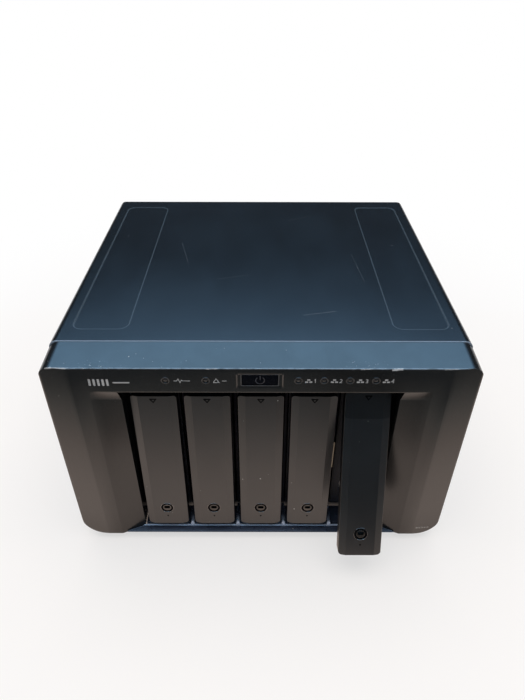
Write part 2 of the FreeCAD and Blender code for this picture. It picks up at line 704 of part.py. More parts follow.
def fan_frame(tag, x):
    """Square frame with a round duct, crossed struts and the motor seat."""
    body = new_body("fan_%s_frame" % tag, x)
    half = dims.fan_side / 2
    through = (203, 230)
    strut_y = (225.8, dims.panel_front_y)
    across, thin = 39, 1.5  # half length and half width of a strut
    pad(body, "block", "XZ", (203.8, dims.panel_front_y),
        [(rect, around(0, half), around(dims.fan_z, half), 4)])
    pocket(body, "duct", "XZ", through, [(disc, 0, dims.fan_z, 38.2)])
    pocket(body, "screw_ways", "XZ", through, discs(fan_corners(0), 2.05))
    pad(body, "strut_a", "XZ", strut_y, [(rect, around(0, across), around(dims.fan_z, thin))])
    pad(body, "strut_b", "XZ", strut_y, [(rect, around(0, thin), around(dims.fan_z, across))])
    pad(body, "seat", "XZ", (221.5, dims.panel_front_y), [(disc, 0, dims.fan_z, 13)])
    pocket(body, "bore", "XZ", (220, 227.6), [(disc, 0, dims.fan_z, 1.55)])


def fan_rotor(tag, x):
    """Hub, shaft and seven slanted blades, drawn around the fan's own axis."""
    body = new_body("fan_%s_rotor" % tag, x, dims.fan_z)
    hub_front_y = 206.5
    pad(body, "hub", "XZ", (hub_front_y, 221), [(disc, 0, 0, 14)])
    pad(body, "shaft", "XZ", (220.5, 227.2), [(disc, 0, 0, 1.5)])
    blade = pad(body, "blade", "XY", (12.5, 35), [(outline, [
        (-10.5, 208), (-9.4, 207.2), (10.5, 219.2), (9.4, 220)])])
    blades = body.newObject("PartDesign::PolarPattern", "blades")
    blades.Originals = [blade]
    blades.Axis = (origin_feature(body, "Y_Axis"), [""])
    blades.Angle = 360
    blades.Occurrences = 7
    body.Tip = blades
    soften(body, "hub_rim", 1.5, YMin=hub_front_y, YMax=hub_front_y)


for tag, x in FANS:
    fan_frame(tag, x)
    fan_rotor(tag, x)

# ---------------------------------------------------------------- power lead

# Lead from the side of the supply, bent down to the board
lead_y, lead_z = 190, 60
bend_x, bend_radius = 78, 8
bend_z = lead_z - bend_radius
drop_x, lead_end_z = bend_x - bend_radius, 24

body = new_body("power_harness")
route = start(body, "route", "XZ", -lead_y)
route.addGeometry(line(supply_x[0], lead_z, bend_x, lead_z), False)
route.addGeometry(quarter_arc(bend_x, bend_z, bend_radius, 1), False)
route.addGeometry(line(drop_x, bend_z, drop_x, lead_end_z), False)
route.addConstraint(Sketcher.Constraint("Tangent", 0, 2, 1, 1))
route.addConstraint(Sketcher.Constraint("Tangent", 1, 2, 2, 1))
section = start(body, "round", "YZ", supply_x[0])
disc(section, lead_y, lead_z, 3)
lead = body.newObject("PartDesign::AdditivePipe", "lead")
lead.Profile = section
lead.Spine = route
body.Tip = lead

# ---------------------------------------------------------------- buttons

# Power button, 0.1 clear of its hole, with a ring groove in the middle
button_centre = (sum(BUTTON_X) / 2, sum(BUTTON_Z) / 2)
cap_front_y = 0.9

body = new_body("power_button")
pad(body, "cap", "XZ", (cap_front_y, 7), [(rect, grow(BUTTON_X, -0.1), grow(BUTTON_Z, -0.1), 0.5)])
pad(body, "collar", "XZ", (3.3, 4.5), [(rect, (-13, 10.4), (141.2, 151.4))])
pocket(body, "ring", "XZ", (0, 1.1), [(disc, *button_centre, 2.6)])
pad(body, "ring_core", "XZ", (cap_front_y, 1.5), [(disc, *button_centre, 2.1)])

body = new_body("reset_button")
pad(body, "stem", "XZ", (223.9, JACK_FACE_Y), [(disc, *RESET, 1.5)])
pad(body, "collar", "XZ", (225.4, 227.2), [(disc, *RESET, 2.6)])

# ---------------------------------------------------------------- bays

TRAY_LEFT_X, DRIVE_LEFT_X = -14.5, -12.9  # the tray's side wall lies between them
RAIL_LOW_Z, DRIVE_LOW_Z = 14.6, 19.8      # the low rail lies between them
TRAY_TOP_Z = 126.6
DRIVE_FRONT_Y = 24.5                      # back of the tray's front block


def tray(name, bay_x):
    """Sled: side wall, two rails, and the front block with hinge arms and catch."""
    body = new_body(name + "_tray", bay_x)
    rail_x, rail_y = (TRAY_LEFT_X, 14), (20.6, 166)
    arm = 3.1  # reach of an arm around the pin
    box(body, "side", (TRAY_LEFT_X, DRIVE_LEFT_X), (21, 166), (15, 126))
    box(body, "low_rail", rail_x, rail_y, (RAIL_LOW_Z, DRIVE_LOW_Z))
    box(body, "top_rail", rail_x, rail_y, (121.4, TRAY_TOP_Z))
    box(body, "front_block", around(0, 13.8), (20.5, DRIVE_FRONT_Y), (RAIL_LOW_Z, TRAY_TOP_Z))
    pad(body, "arms", "XZ", (dims.pin_y - arm, 20.8),
        [(rect, beside(side, 9.4, 11.4), around(dims.pin_z, arm)) for side in (1, -1)])
    soften(body, "arm_noses", 3.0, "X", YMin=dims.pin_y - arm, ZMin=around(dims.pin_z, arm))
    pocket(body, "pin_bore", "YZ", around(0, 12),
           [(disc, dims.pin_y, dims.pin_z, dims.pin_radius + 0.03)])
    pocket(body, "side_windows", "YZ", (-16, -12),
           [(rect, (40 + 40 * k, 70 + 40 * k), (32, 110), 5) for k in range(3)])
    pocket(body, "front_air", "XZ", (20, 25),
           [(rect, around(0, 9), (26 + 21 * k, 40 + 21 * k), 3) for k in range(4)])
    pad(body, "catch", "XZ", (16.5, 21), [(rect, around(0, 4), (20, 23))])


def drive(name, bay_x):
    """Drive standing on edge, with a socket way at the back and a step on the right."""
    body = new_body(name + "_drive", bay_x)
    right_x = DRIVE_LEFT_X + dims.drive_thick
    box(body, "case", (DRIVE_LEFT_X, right_x), (DRIVE_FRONT_Y, dims.drive_length + DRIVE_FRONT_Y),
        (DRIVE_LOW_Z, dims.drive_height + DRIVE_LOW_Z))
    soften(body, "case_edges", 2.5, "X")
    pocket(body, "socket_way", "XZ", (165, 172), [(rect, around(0, 3.2), (29, 73))])
    pocket(body, "label_step", "YZ", (right_x - 0.5, 20), [(rect, (30, 120), (26, 116), 5)])


def hinge_pin(name, bay_x):
    body = new_body(name + "_hinge_pin", bay_x)
    pad(body, "pin", "YZ", around(0, 13.6), [(disc, dims.pin_y, dims.pin_z, dims.pin_radius)])


def hang(body, bay_x, angle):
    """Hang a body drawn around the hinge pin, turned about X by the angle in degrees."""
    turn = FreeCAD.Rotation(Vector(1, 0, 0), angle.number)
    body.Placement = FreeCAD.Placement(Vector(0, 0, 0), turn)
    place(body, bay_x, dims.pin_y, dims.pin_z)


def handle(name, bay_x, angle):
    """Handle drawn from its own pin: face towards -Y, hollow at the back."""
    body = add_body(name + "_handle")
    half = dims.handle_width / 2
    front, back = -dims.handle_front, 2.4
    foot, top = -dims.handle_below, dims.handle_above
    wall = 2
    lock_z = -dims.lock_below
    pad(body, "face", "XY", (foot, top), [(outline, [
        (-half, front + 1.1), (-half + 4.6, front), (half - 4.6, front), (half, front + 1.1),
        (half, back), (-half, back)])])
    soften(body, "back_top", 4, "X", YMin=back, ZMin=top)
    soften(body, "front_ends", 1.0, "X", YMin=front, ZMin=(foot, top))
    inside_x = around(0, half - wall)
    pocket(body, "hollow", "XZ", (front + 2.2, 5), [(rect, inside_x, grow((foot, top), -wall))])
    box_cut(body, "top_notch", inside_x, (-0.6, 5), (top - 3, top + 2))
    pocket(body, "pin_way", "YZ", around(0, 15), [(disc, 0, 0, dims.pin_radius + 0.05)])
    pad(body, "lock_boss", "XZ", (front + 2, 0.6), [(disc, 0, lock_z, 6.5)])
    pad(body, "lock_rim", "XZ", (front - 0.35, front + 0.5), [(disc, 0, lock_z, 5.2)])
    pocket(body, "lock_way", "XZ", (front - 1, 1.5), [(disc, 0, lock_z, dims.lock_radius + 0.05)])
    # small triangle in the face, pointing down
    pocket(body, "mark", "XZ", (front - 1, front + 0.5),
           [(outline, [(-2.1, 4.6), (2.1, 4.6), (0, 1.6)])])
    hang(body, bay_x, angle)


def lock(name, bay_x, angle):
    """Lock plug with a keyway in front and a cam behind, drawn from the handle's pin."""
    body = add_body(name + "_lock")
    front = -dims.handle_front
    lock_z = -dims.lock_below
    key_y = (front - 1, front + 2.4)
    pad(body, "plug", "XZ", (front + 0.3, 1.0), [(disc, 0, lock_z, dims.lock_radius)])
    pad(body, "cam", "XZ", (0.9, 2.2), [(rect, around(0, 2.4), (lock_z - 2.4, lock_z + 7))])
    pocket(body, "keyway", "XZ", key_y, [(rect, around(0, 0.7), around(lock_z, 2.2))])
    pocket(body, "key_hub", "XZ", key_y, [(disc, 0, lock_z, 1.3)])
    hang(body, bay_x, angle)


for n, bay_x in enumerate(BAY_CENTRES, 1):
    name = "bay_%d" % n
    # the fifth handle stands open
    angle = -dims.lean if n < 5 else -(dims.lean + dims.swing)
    tray(name, bay_x)
    drive(name, bay_x)
    hinge_pin(name, bay_x)
    handle(name, bay_x, angle)
    lock(name, bay_x, angle)

# ---------------------------------------------------------------- check and export

doc.recompute()

bad = ["%s %s" % (item.Name, item.State) for item in doc.Objects
       if "Invalid" in item.State or "Error" in item.State]
bad += [part.Label + " shape" for part in PARTS
        if part.Shape.isNull() or not part.Shape.isValid() or not part.Shape.Solids]
if bad:
    raise RuntimeError("; ".join(bad[:20]))

os.makedirs("parts", exist_ok=True)
for part in PARTS:
    part.Shape.exportStep("parts/%s.step" % part.Label)
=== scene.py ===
# A desktop box with five upright bays, their lift-out handles and locks side by side. It
# stands on z = 0, centred on x = 0, with its front facing -Y.
import json
import math
from contextlib import contextmanager

import bmesh
import bpy
from mathutils import Matrix, Vector


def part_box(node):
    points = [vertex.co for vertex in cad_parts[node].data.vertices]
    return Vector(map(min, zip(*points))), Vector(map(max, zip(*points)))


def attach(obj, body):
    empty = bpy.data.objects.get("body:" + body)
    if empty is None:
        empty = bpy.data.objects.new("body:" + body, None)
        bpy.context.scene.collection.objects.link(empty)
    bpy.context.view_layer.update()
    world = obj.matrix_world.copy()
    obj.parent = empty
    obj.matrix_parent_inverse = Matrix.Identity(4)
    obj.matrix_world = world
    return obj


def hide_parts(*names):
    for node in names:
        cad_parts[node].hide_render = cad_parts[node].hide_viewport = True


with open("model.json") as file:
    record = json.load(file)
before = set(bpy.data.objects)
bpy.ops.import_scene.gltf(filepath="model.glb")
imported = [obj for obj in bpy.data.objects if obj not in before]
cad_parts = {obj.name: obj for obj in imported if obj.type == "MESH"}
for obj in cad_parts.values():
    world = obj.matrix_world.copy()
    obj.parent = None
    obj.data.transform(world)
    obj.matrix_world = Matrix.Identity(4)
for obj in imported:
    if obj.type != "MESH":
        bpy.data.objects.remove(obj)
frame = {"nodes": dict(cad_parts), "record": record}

scene = bpy.context.scene
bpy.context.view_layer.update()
MM = 0.001
Y0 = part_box("front_bezel")[0].y          # the bezel's front plane, metres
FRONT_Y = Y0 * 1000                      # the same in millimetres
FRONT_FRAME = Matrix.Translation((0, Y0, 0))
PI = math.pi

# ------------------------------------------------------------------ shared sizes, mm

BAY_PITCH = 32
BAY_COUNT = 5
HALF_W = 124.0              # bezel, half width
BEZEL_Z = (6.5, 154.8)
BEZEL_DEPTH = 22.5
WING_X, WING_SET = 106.5, 1.5   # the face slants back by WING_SET outside WING_X
BAY_X = 81.5                # half width of the bay opening
SCOOP_X = 97.0              # outer edge of the hollows beside it
WINDOW_X = (-10.8, 9.65)    # power button window
WINDOW_Z = (142.7, 150.4)
LAMPS_X = (-53.15, -30.7, 20.9, 35.2, 49.6, 64.1)
LAMP_Z = 146.6
COVER_HALF, COVER_TOP, COVER_LOW = 123.3, 157.0, 6.2
COVER_BACK = 231.0
SHEET = 1.0                 # cover sheet thickness
COVER_R = 5                 # outer bend radius
PANEL_X, PANEL_Y = (79.5, 113.0), (35.3, 218.6)     # sunk panels in the cover's top
PANEL_R = 6.0
LEDGE_Z, LEDGE_Y = 9.0, 6.5     # the sill's raised ledge


def P(x, y, z):
    """A point of the front frame, mm to metres."""
    return Vector((x * MM, y * MM + Y0, z * MM))


# ------------------------------------------------------------------ outlines

def rounded(corners, segments=6):
    """A closed outline whose corners (x, y, radius) are turned into arcs."""
    out = []
    for i, p in enumerate(corners):
        r = p[2] if len(p) > 2 else 0
        corner = Vector(p[:2])
        if r <= 0:
            out.append(tuple(corner))
            continue
        back = (Vector(corners[i - 1][:2]) - corner).normalized()
        ahead = (Vector(corners[(i + 1) % len(corners)][:2]) - corner).normalized()
        half = back.angle(ahead) / 2
        reach = r / math.tan(half)
        centre = corner + (back + ahead).normalized() * (r / math.sin(half))
        u = corner + back * reach - centre
        v = corner + ahead * reach - centre
        full = u.angle(v)
        for k in range(segments + 1):
            f = k / segments
            arm = (u * math.sin((1 - f) * full) + v * math.sin(f * full)) / math.sin(full)
            out.append(tuple(centre + arm))
    return out


def rrect(x0, x1, y0, y1, r, segments=6):
    return rounded([(x0, y0, r), (x1, y0, r), (x1, y1, r), (x0, y1, r)], segments)


def circle(x, y, r, segments=32):
    angles = [2 * PI * k / segments for k in range(segments)]
    return [(x + r * math.cos(t), y + r * math.sin(t)) for t in angles]


def mirrored(side, inner, outer):
    """An x span on the left (-1) or right (1), smaller value first."""
    return sorted((side * inner, side * outer))


def stroke(points, width):
    """The outline of a stroke with square ends along a polyline."""
    v = [Vector(p) for p in points]
    left, right = [], []
    for i, p in enumerate(v):
        a = (v[i] - v[i - 1]).normalized() if i else (v[1] - v[0]).normalized()
        b = (v[i + 1] - v[i]).normalized() if i < len(v) - 1 else a
        along = (a + b).normalized()
        normal = Vector((-along.y, along.x))
        reach = width / 2 / max(0.35, normal.dot(Vector((-a.y, a.x))))
        left.append(tuple(p + normal * reach))
        right.append(tuple(p - normal * reach))
    return left + right[::-1]


# ------------------------------------------------------------------ solids

def link_mesh(name, bm):
    me = bpy.data.meshes.new(name)
    bm.to_mesh(me)
    bm.free()
    ob = bpy.data.objects.new(name, me)
    scene.collection.objects.link(ob)
    return ob


def new_solid(name, bm):
    bmesh.ops.remove_doubles(bm, verts=bm.verts, dist=1e-4)
    bmesh.ops.recalc_face_normals(bm, faces=bm.faces)
    return link_mesh(name, bm)


def extrude(name, outline, plane, start, end):
    """A straight solid; XY runs along z, XZ along y, YZ along x."""
    bm = bmesh.new()
    at = {"XY": lambda p, k: (p[0], p[1], k),
          "XZ": lambda p, k: (p[0], k, p[1]),
          "YZ": lambda p, k: (k, p[0], p[1])}[plane]
    lo = [bm.verts.new(at(p, start)) for p in outline]
    hi = [bm.verts.new(at(p, end)) for p in outline]
    bm.faces.new(lo)
    bm.faces.new(hi)
    n = len(outline)
    for i in range(n):
        j = (i + 1) % n
        bm.faces.new((lo[i], lo[j], hi[j], hi[i]))
    return new_solid(name, bm)


def cutter(outline, plane, start, end):
    """A throwaway solid for cut, join and meet."""
    return extrude("cutter", outline, plane, start, end)


def lathe(name, profile, centre, segments=48):
    """A solid turned about y: profile is (radius, y). Ends off the axis close on each other."""
    bm = bmesh.new()
    rings = []
    for r, h in profile:
        if r < 1e-6:
            rings.append([bm.verts.new((0, h, 0))])
        else:
            turns = [2 * PI * k / segments for k in range(segments)]
            rings.append([bm.verts.new((r * math.cos(t), h, r * math.sin(t))) for t in turns])
    pairs = list(zip(rings, rings[1:]))
    if len(rings[0]) > 1 and len(rings[-1]) > 1:
        pairs.append((rings[-1], rings[0]))
    for a, b in pairs:
        for k in range(segments):
            q = (k + 1) % segments
            if len(a) == 1:
                bm.faces.new((a[0], b[k], b[q]))
            elif len(b) == 1:
                bm.faces.new((a[k], b[0], a[q]))
            else:
                bm.faces.new((a[k], b[k], b[q], a[q]))
    bmesh.ops.transform(bm, matrix=Matrix.Translation(centre), verts=bm.verts)
    return new_solid(name, bm)


def loft(name, rings):
    """A closed solid through rings of matching points."""
    bm = bmesh.new()
    rows = [[bm.verts.new(p) for p in r] for r in rings]
    n = len(rows[0])
    for a, b in zip(rows, rows[1:]):
        for k in range(n):
            q = (k + 1) % n
            bm.faces.new([a[k], a[q], b[q], b[k]])
    bm.faces.new(rows[0][::-1])
    bm.faces.new(rows[-1])
    bmesh.ops.recalc_face_normals(bm, faces=bm.faces)
    return new_solid(name, bm)


# ------------------------------------------------------------------ editing and finishing

@contextmanager
def edited(ob):
    """Hands out an object's mesh for editing, then writes it back."""
    bm = bmesh.new()
    bm.from_mesh(ob.data)
    yield bm
    bm.to_mesh(ob.data)
    bm.free()


def drop(ob):
    me = ob.data
    bpy.data.objects.remove(ob)
    if me.users == 0:
        bpy.data.meshes.remove(me)


def combine(ob, tools, how):
    """Applies a boolean with each tool in turn and removes the tools."""
    for tool in tools:
        boolean = ob.modifiers.new("cut", "BOOLEAN")
        boolean.operation = how
        boolean.solver = "EXACT"
        boolean.object = tool
        dg = bpy.context.evaluated_depsgraph_get()
        me = bpy.data.meshes.new_from_object(ob.evaluated_get(dg), preserve_all_data_layers=True,
                                             depsgraph=dg)
        old = ob.data
        ob.modifiers.clear()
        ob.data = me
        bpy.data.meshes.remove(old)
        drop(tool)


def cut(ob, *tools):
    combine(ob, tools, "DIFFERENCE")


def join(ob, *tools):
    combine(ob, tools, "UNION")


def meet(ob, *tools):
    combine(ob, tools, "INTERSECT")


MERGE = 0.004                           # mm
FLAT = math.radians(0.5)                # flatter than this is dissolved
CORNER = math.radians(32)               # sharper than this is always rounded
CREASE = math.radians(2)                # sharper than this is rounded between broad faces
BROAD_AREA, BROAD_WIDTH = 60, 3         # mm2 and mm


def clean(ob):
    """Merges leftover splits from the cuts, so that bevels run cleanly."""
    with edited(ob) as bm:
        bmesh.ops.remove_doubles(bm, verts=bm.verts, dist=MERGE)
        bmesh.ops.dissolve_degenerate(bm, edges=bm.edges, dist=MERGE)
        bmesh.ops.dissolve_limit(bm, angle_limit=FLAT, verts=bm.verts, edges=bm.edges)
        bmesh.ops.recalc_face_normals(bm, faces=bm.faces)


def weight_corners(bm):
    """Marks real corners, and shallow creases between two broad faces, which keeps them flat."""
    weight = bm.edges.layers.float.new("bevel_weight_edge")
    broad = {f for f in bm.faces if f.calc_area() > BROAD_AREA
             and f.calc_area() / max(e.calc_length() for e in f.edges) > BROAD_WIDTH}
    for e in bm.edges:
        if len(e.link_faces) == 2:
            a = e.calc_face_angle(0)
            if a > CORNER or (a > CREASE and all(f in broad for f in e.link_faces)):
                e[weight] = 1.0


def finish(ob, mat, body, bevel=0, segments=2, place=FRONT_FRAME):
    """Turns a millimetre mesh into a finished piece; only bevelled pieces are cleaned."""
    if bevel:
        clean(ob)
    with edited(ob) as bm:
        if bevel:
            weight_corners(bm)
        bmesh.ops.transform(bm, matrix=place @ Matrix.Scale(MM, 4), verts=bm.verts)
        for f in bm.faces:
            f.smooth = True
    if bevel:
        b = ob.modifiers.new("edge", "BEVEL")
        b.width = bevel * MM
        b.segments = segments
        b.limit_method = "WEIGHT"
        b.angle_limit = CORNER
        b.use_clamp_overlap = True
        b.miter_outer = "MITER_ARC"
    w = ob.modifiers.new("shade", "WEIGHTED_NORMAL")
    w.mode = "FACE_AREA_WITH_ANGLE"
    w.weight = 80
    w.keep_sharp = False
    ob.data.materials.clear()
    ob.data.materials.append(mat)
    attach(ob, body)


# ------------------------------------------------------------------ node wrapper

class Mat:
    """Keeps node graphs short. self.mm is the object position in millimetres."""

    def __init__(self, name):
        self.m = bpy.data.materials.new(name)
        self.m.use_nodes = True
        self.t = self.m.node_tree
        self.bsdf = self.t.nodes["Principled BSDF"]
        coord = self.node("TexCoord")
        self.mm = self.vector("SCALE", coord.outputs["Object"], scale=1000.0)

    def node(self, kind):
        return self.t.nodes.new("ShaderNode" + kind)

    def link(self, a, b):
        self.t.links.new(a, b)

    def put(self, sock, v):
        if isinstance(v, bpy.types.NodeSocket):
            self.link(v, sock)
        else:
            sock.default_value = v

    def vector(self, op, a, b=None, scale=None):
        n = self.node("VectorMath")
        n.operation = op
        self.put(n.inputs[0], a)
        if b is not None:
            self.put(n.inputs[1], b)
        if scale is not None:
            self.put(n.inputs["Scale"], scale)
        return n.outputs["Value" if op in ("DOT_PRODUCT", "LENGTH") else "Vector"]

    def math(self, op, a, b=0.0, clamp=False):
        n = self.node("Math")
        n.operation = op
        n.use_clamp = clamp
        self.put(n.inputs[0], a)
        self.put(n.inputs[1], b)
        return n.outputs[0]

    def times(self, a, b):
        return self.math("MULTIPLY", a, b)

    def plus(self, a, b):
        return self.math("ADD", a, b)

    def minus(self, a, b):
        return self.math("SUBTRACT", a, b)

    def size(self, a):
        return self.math("ABSOLUTE", a)

    def without(self, mask, amount):
        """1, falling by amount where the mask is 1."""
        return self.minus(1.0, self.times(mask, amount))

    def remap(self, v, span, to=(0.0, 1.0)):
        """A smooth step from to[0] at span[0] to to[1] at span[1]."""
        n = self.node("MapRange")
        n.interpolation_type = "SMOOTHSTEP"
        self.put(n.inputs["Value"], v)
        for key, value in zip(("From Min", "From Max", "To Min", "To Max"), (*span, *to)):
            n.inputs[key].default_value = value
        return n.outputs["Result"]

    def near(self, v, centre, span):
        """A smooth step on the distance of v from a centre."""
        return self.remap(self.size(self.minus(v, centre)), span)

    def axes(self, vector):
        n = self.node("SeparateXYZ")
        self.link(vector, n.inputs[0])
        return n.outputs

    def axis(self, key):
        return self.axes(self.mm)[key]

    def coords(self, stretch, seed=0.0):
        if not (stretch or seed):
            return self.mm
        n = self.node("Mapping")
        n.inputs["Scale"].default_value = stretch or (1, 1, 1)
        n.inputs["Location"].default_value = (seed, seed * 1.7, seed * 0.6)
        self.link(self.mm, n.inputs["Vector"])
        return n.outputs[0]

    def noise(self, scale, detail=3, rough=0.55, stretch=None, dist=0.0, seed=0.0):
        n = self.node("TexNoise")
        n.inputs["Scale"].default_value = scale
        n.inputs["Detail"].default_value = detail
        n.inputs["Roughness"].default_value = rough
        n.inputs["Distortion"].default_value = dist
        self.link(self.coords(stretch, seed), n.inputs["Vector"])
        return n.outputs["Fac"]

    def voronoi(self, scale, stretch=None):
        n = self.node("TexVoronoi")
        n.feature = "F1"
        n.inputs["Scale"].default_value = scale
        self.link(self.coords(stretch), n.inputs["Vector"])
        return n.outputs["Distance"], n.outputs["Color"]

    def mix(self, fac, a, b):
        n = self.node("Mix")
        n.data_type = "RGBA"
        self.put(n.inputs["Factor"], fac)
        for key, v in (("A", a), ("B", b)):
            self.put(n.inputs[key], v if isinstance(v, bpy.types.NodeSocket) else (*v, 1))
        return n.outputs["Result"]

    def stain(self, col, mask, amount, tone):
        """Lays a tone over a colour where the mask is 1."""
        return self.mix(self.times(mask, amount), col, tone)

    def bump(self, height, strength, depth):
        n = self.node("Bump")
        n.inputs["Strength"].default_value = strength
        n.inputs["Distance"].default_value = depth * MM
        self.link(height, n.inputs["Height"])
        return n.outputs["Normal"]

    def edge(self):
        """1 on edges and corners, from the rounded normal against the face's own."""
        g = self.node("NewGeometry")
        b = self.node("Bevel")
        b.samples = 4
        b.inputs["Radius"].default_value = 0.55 * MM
        dot = self.vector("DOT_PRODUCT", b.outputs["Normal"], g.outputs["True Normal"])
        return self.remap(self.minus(1.0, dot), span=(0.03, 0.22))

    def grained(self, rough, fine, amount):
        """Roughness varied a little by the fine grain."""
        return self.plus(rough, self.times(self.minus(fine, 0.5), amount))

    def out(self, color, rough, metal=None, normal=None, coat=None, coat_rough=None, spec=None):
        for key, v in (("Base Color", color), ("Roughness", rough), ("Metallic", metal),
                       ("Normal", normal), ("Coat Weight", coat),
                       ("Coat Roughness", coat_rough), ("Specular IOR Level", spec)):
            if v is not None:
                self.put(self.bsdf.inputs[key], v)
        return self.m


# ------------------------------------------------------------------ surface marks

def specks(m, scale, size, keep):
    """Sparse pale dust grains; keep is the share of cells left bare."""
    d, col = m.voronoi(scale)
    sep = m.node("SeparateColor")
    m.link(col, sep.inputs[0])
    dot = m.remap(d, span=(size * 1.35, size * 0.6))
    pick = m.remap(sep.outputs[0], span=(keep, keep + 0.02))
    return m.times(dot, pick)


def scratch(m, a, b, width, ragged=None):
    """A fine straight scratch between two points of the front frame."""
    start, end = P(*a) * 1000, P(*b) * 1000
    run = end - start
    offset = m.vector("SUBTRACT", m.mm, start)
    t = m.vector("DOT_PRODUCT", offset, run)
    t = m.math("DIVIDE", t, run.length_squared, clamp=True)
    nearest = m.vector("SCALE", run, scale=t)
    d = m.vector("LENGTH", m.vector("SUBTRACT", offset, nearest))
    if ragged is not None:
        d = m.plus(d, ragged)
    return m.remap(d, span=(width, width * 0.35))


def panel_rims(m, width):
    """1 along the outlines of the two sunk panels, mirrored about x = 0."""
    cx, cy = sum(PANEL_X) / 2, sum(PANEL_Y) / 2
    hx, hy = (PANEL_X[1] - PANEL_X[0]) / 2, (PANEL_Y[1] - PANEL_Y[0]) / 2
    r = PANEL_R
    x, y, z = m.axes(m.mm)
    up = m.remap(z, span=(154.0, 155.0))
    qx = m.minus(m.size(m.minus(m.size(x), cx)), hx - r)
    qy = m.minus(m.size(m.minus(y, cy + FRONT_Y)), hy - r)
    mx, my = m.math("MAXIMUM", qx, 0.0), m.math("MAXIMUM", qy, 0.0)
    outside = m.math("SQRT", m.plus(m.times(mx, mx), m.times(my, my)))
    inside = m.math("MINIMUM", m.math("MAXIMUM", qx, qy), 0.0)
    d = m.minus(m.plus(outside, inside), r)
    return m.times(m.remap(m.size(d), span=(width, width * 0.3)), up)


# from, to, half width, strength
COVER_SCRATCHES = (
    ((26.2, 50.5, 157), (47, 55, 157), 0.2, 0.3),
    ((-60, 150, 157), (-52, 118, 157), 0.15, 0.2),
    ((20, 190, 157), (41, 201, 157), 0.13, 0.15),
    ((70, 90, 157), (66, 132, 157), 0.15, 0.12),
    ((-30, 95, 157), (-8, 101, 157), 0.12, 0.15))
BEZEL_SCRATCHES = (
    ((-120.6, 0.3, 154.0), (-115.5, 0.6, 154.9), 0.95, 0.9),
    ((-115.5, 0.5, 154.9), (-107, 0.3, 154.6), 0.5, 0.8),
    ((72.5, 0.2, 154.2), (77.5, 0.3, 154.6), 0.8, 0.9),
    ((55, 0.2, 154.4), (60, 0.3, 154.7), 0.35, 0.7),
    ((-30, 0.2, 154.5), (-24, 0.3, 154.7), 0.3, 0.6),
    ((101, 0.2, 154.4), (108, 0.3, 154.7), 0.35, 0.6))


def cover_marks(m, col):
    """Scratches, and painted highlights along the sunk panels' rims and along the front lip."""
    for a, b, width, strength in COVER_SCRATCHES:
        k = m.times(scratch(m, a, b, width), strength)
        broken = m.remap(m.noise(scale=0.5, rough=0.6, seed=3), span=(0.3, 0.55))
        col = m.mix(m.times(k, broken), col, (0.42, 0.44, 0.47))
    # painted highlight along the rims of the sunk panels
    col = m.stain(col, panel_rims(m, width=0.7), amount=0.4, tone=(0.085, 0.12, 0.15))
    # painted highlight along the lip at the front edge of the top
    lip = m.near(m.axis("Y"), centre=22.95 + FRONT_Y, span=(0.65, 0.2))
    return m.stain(col, lip, amount=0.85, tone=(0.24, 0.29, 0.37))


def bezel_marks(m, col):
    """A chipped top edge with a painted highlight along it, lint below it and a painted warm
    highlight along the band's lower edge over the bays.
    """
    edge_z, thick = 154.75, 0.75
    bare = (0.5, 0.52, 0.55)
    band = m.near(m.axis("Z"), centre=edge_z, span=(thick, thick * 0.3))
    spots = m.noise(scale=0.55, detail=5, rough=0.75, stretch=(0.8, 1, 1), seed=2.0)
    spots = m.remap(spots, span=(0.61, 0.67))
    patchy = m.remap(m.noise(scale=0.03, detail=2, rough=0.5, seed=9), span=(0.5, 0.62))
    col = m.mix(m.times(m.times(band, spots), patchy), col, bare)

    # painted highlight along the crease of the top edge, broken up by noise
    line = m.near(m.axis("Z"), centre=edge_z - 0.05, span=(0.42, 0.1))
    front = m.remap(m.axis("Y"), span=(FRONT_Y + 1.2, FRONT_Y + 0.5))
    highlight_breakup = m.noise(scale=0.25, detail=4, rough=0.7, seed=8)
    highlight_breakup = m.remap(highlight_breakup, span=(0.3, 0.6), to=(0.35, 1.0))
    col = m.mix(m.times(m.times(line, front), m.times(highlight_breakup, 0.7)), col, (0.22, 0.29, 0.37))

    lint = m.times(specks(m, scale=0.22, size=0.045, keep=0.5),
                   m.remap(m.axis("Z"), span=(149.0, 152.5)))
    patchy = m.remap(m.noise(scale=0.03, rough=0.6, seed=21), span=(0.42, 0.55))
    col = m.stain(col, m.times(lint, patchy), amount=0.8, tone=(0.42, 0.44, 0.45))

    # painted warm highlight along the band's lower edge over the bays
    low = m.near(m.axis("Z"), centre=138.05, span=(0.5, 0.15))
    near_bays = m.remap(m.size(m.axis("X")), span=(96.0, 92.0))
    low = m.times(m.times(low, front), near_bays)
    col = m.stain(col, low, amount=0.55, tone=(0.12, 0.10, 0.085))

    ragged = m.times(m.minus(m.noise(scale=0.9, detail=4, rough=0.7, seed=12), 0.5), 1.4)
    for a, b, width, strength in BEZEL_SCRATCHES:
        col = m.stain(col, scratch(m, a, b, width, ragged), strength, bare)
    return col


def sill_marks(m, col):
    """Painted highlights along the ridge on top of the ledge and up the front of the stubs."""
    tone, strength = (0.40, 0.48, 0.62), 0.9
    # painted highlight along the ledge's ridge, broken up by noise
    line = m.times(m.remap(m.axis("Z"), span=(LEDGE_Z - 0.5, LEDGE_Z - 0.1)),
                   m.remap(m.axis("Y"), span=(FRONT_Y + LEDGE_Y + 0.25, FRONT_Y + LEDGE_Y - 0.25)))
    highlight_breakup = m.noise(scale=0.3, detail=4, rough=0.6, seed=13)
    line = m.times(line, m.remap(highlight_breakup, span=(0.25, 0.5), to=(0.55, 1.0)))
    col = m.stain(col, line, strength, tone)
    # painted highlight up the front of the stubs
    stub_highlight = m.times(m.remap(m.axis("Z"), span=(LEDGE_Z + 1.0, LEDGE_Z + 2.2)),
                   m.remap(m.axis("Y"), span=(FRONT_Y + 12.5, FRONT_Y + 8.0)))
    return m.stain(col, stub_highlight, strength * 0.45, tone)


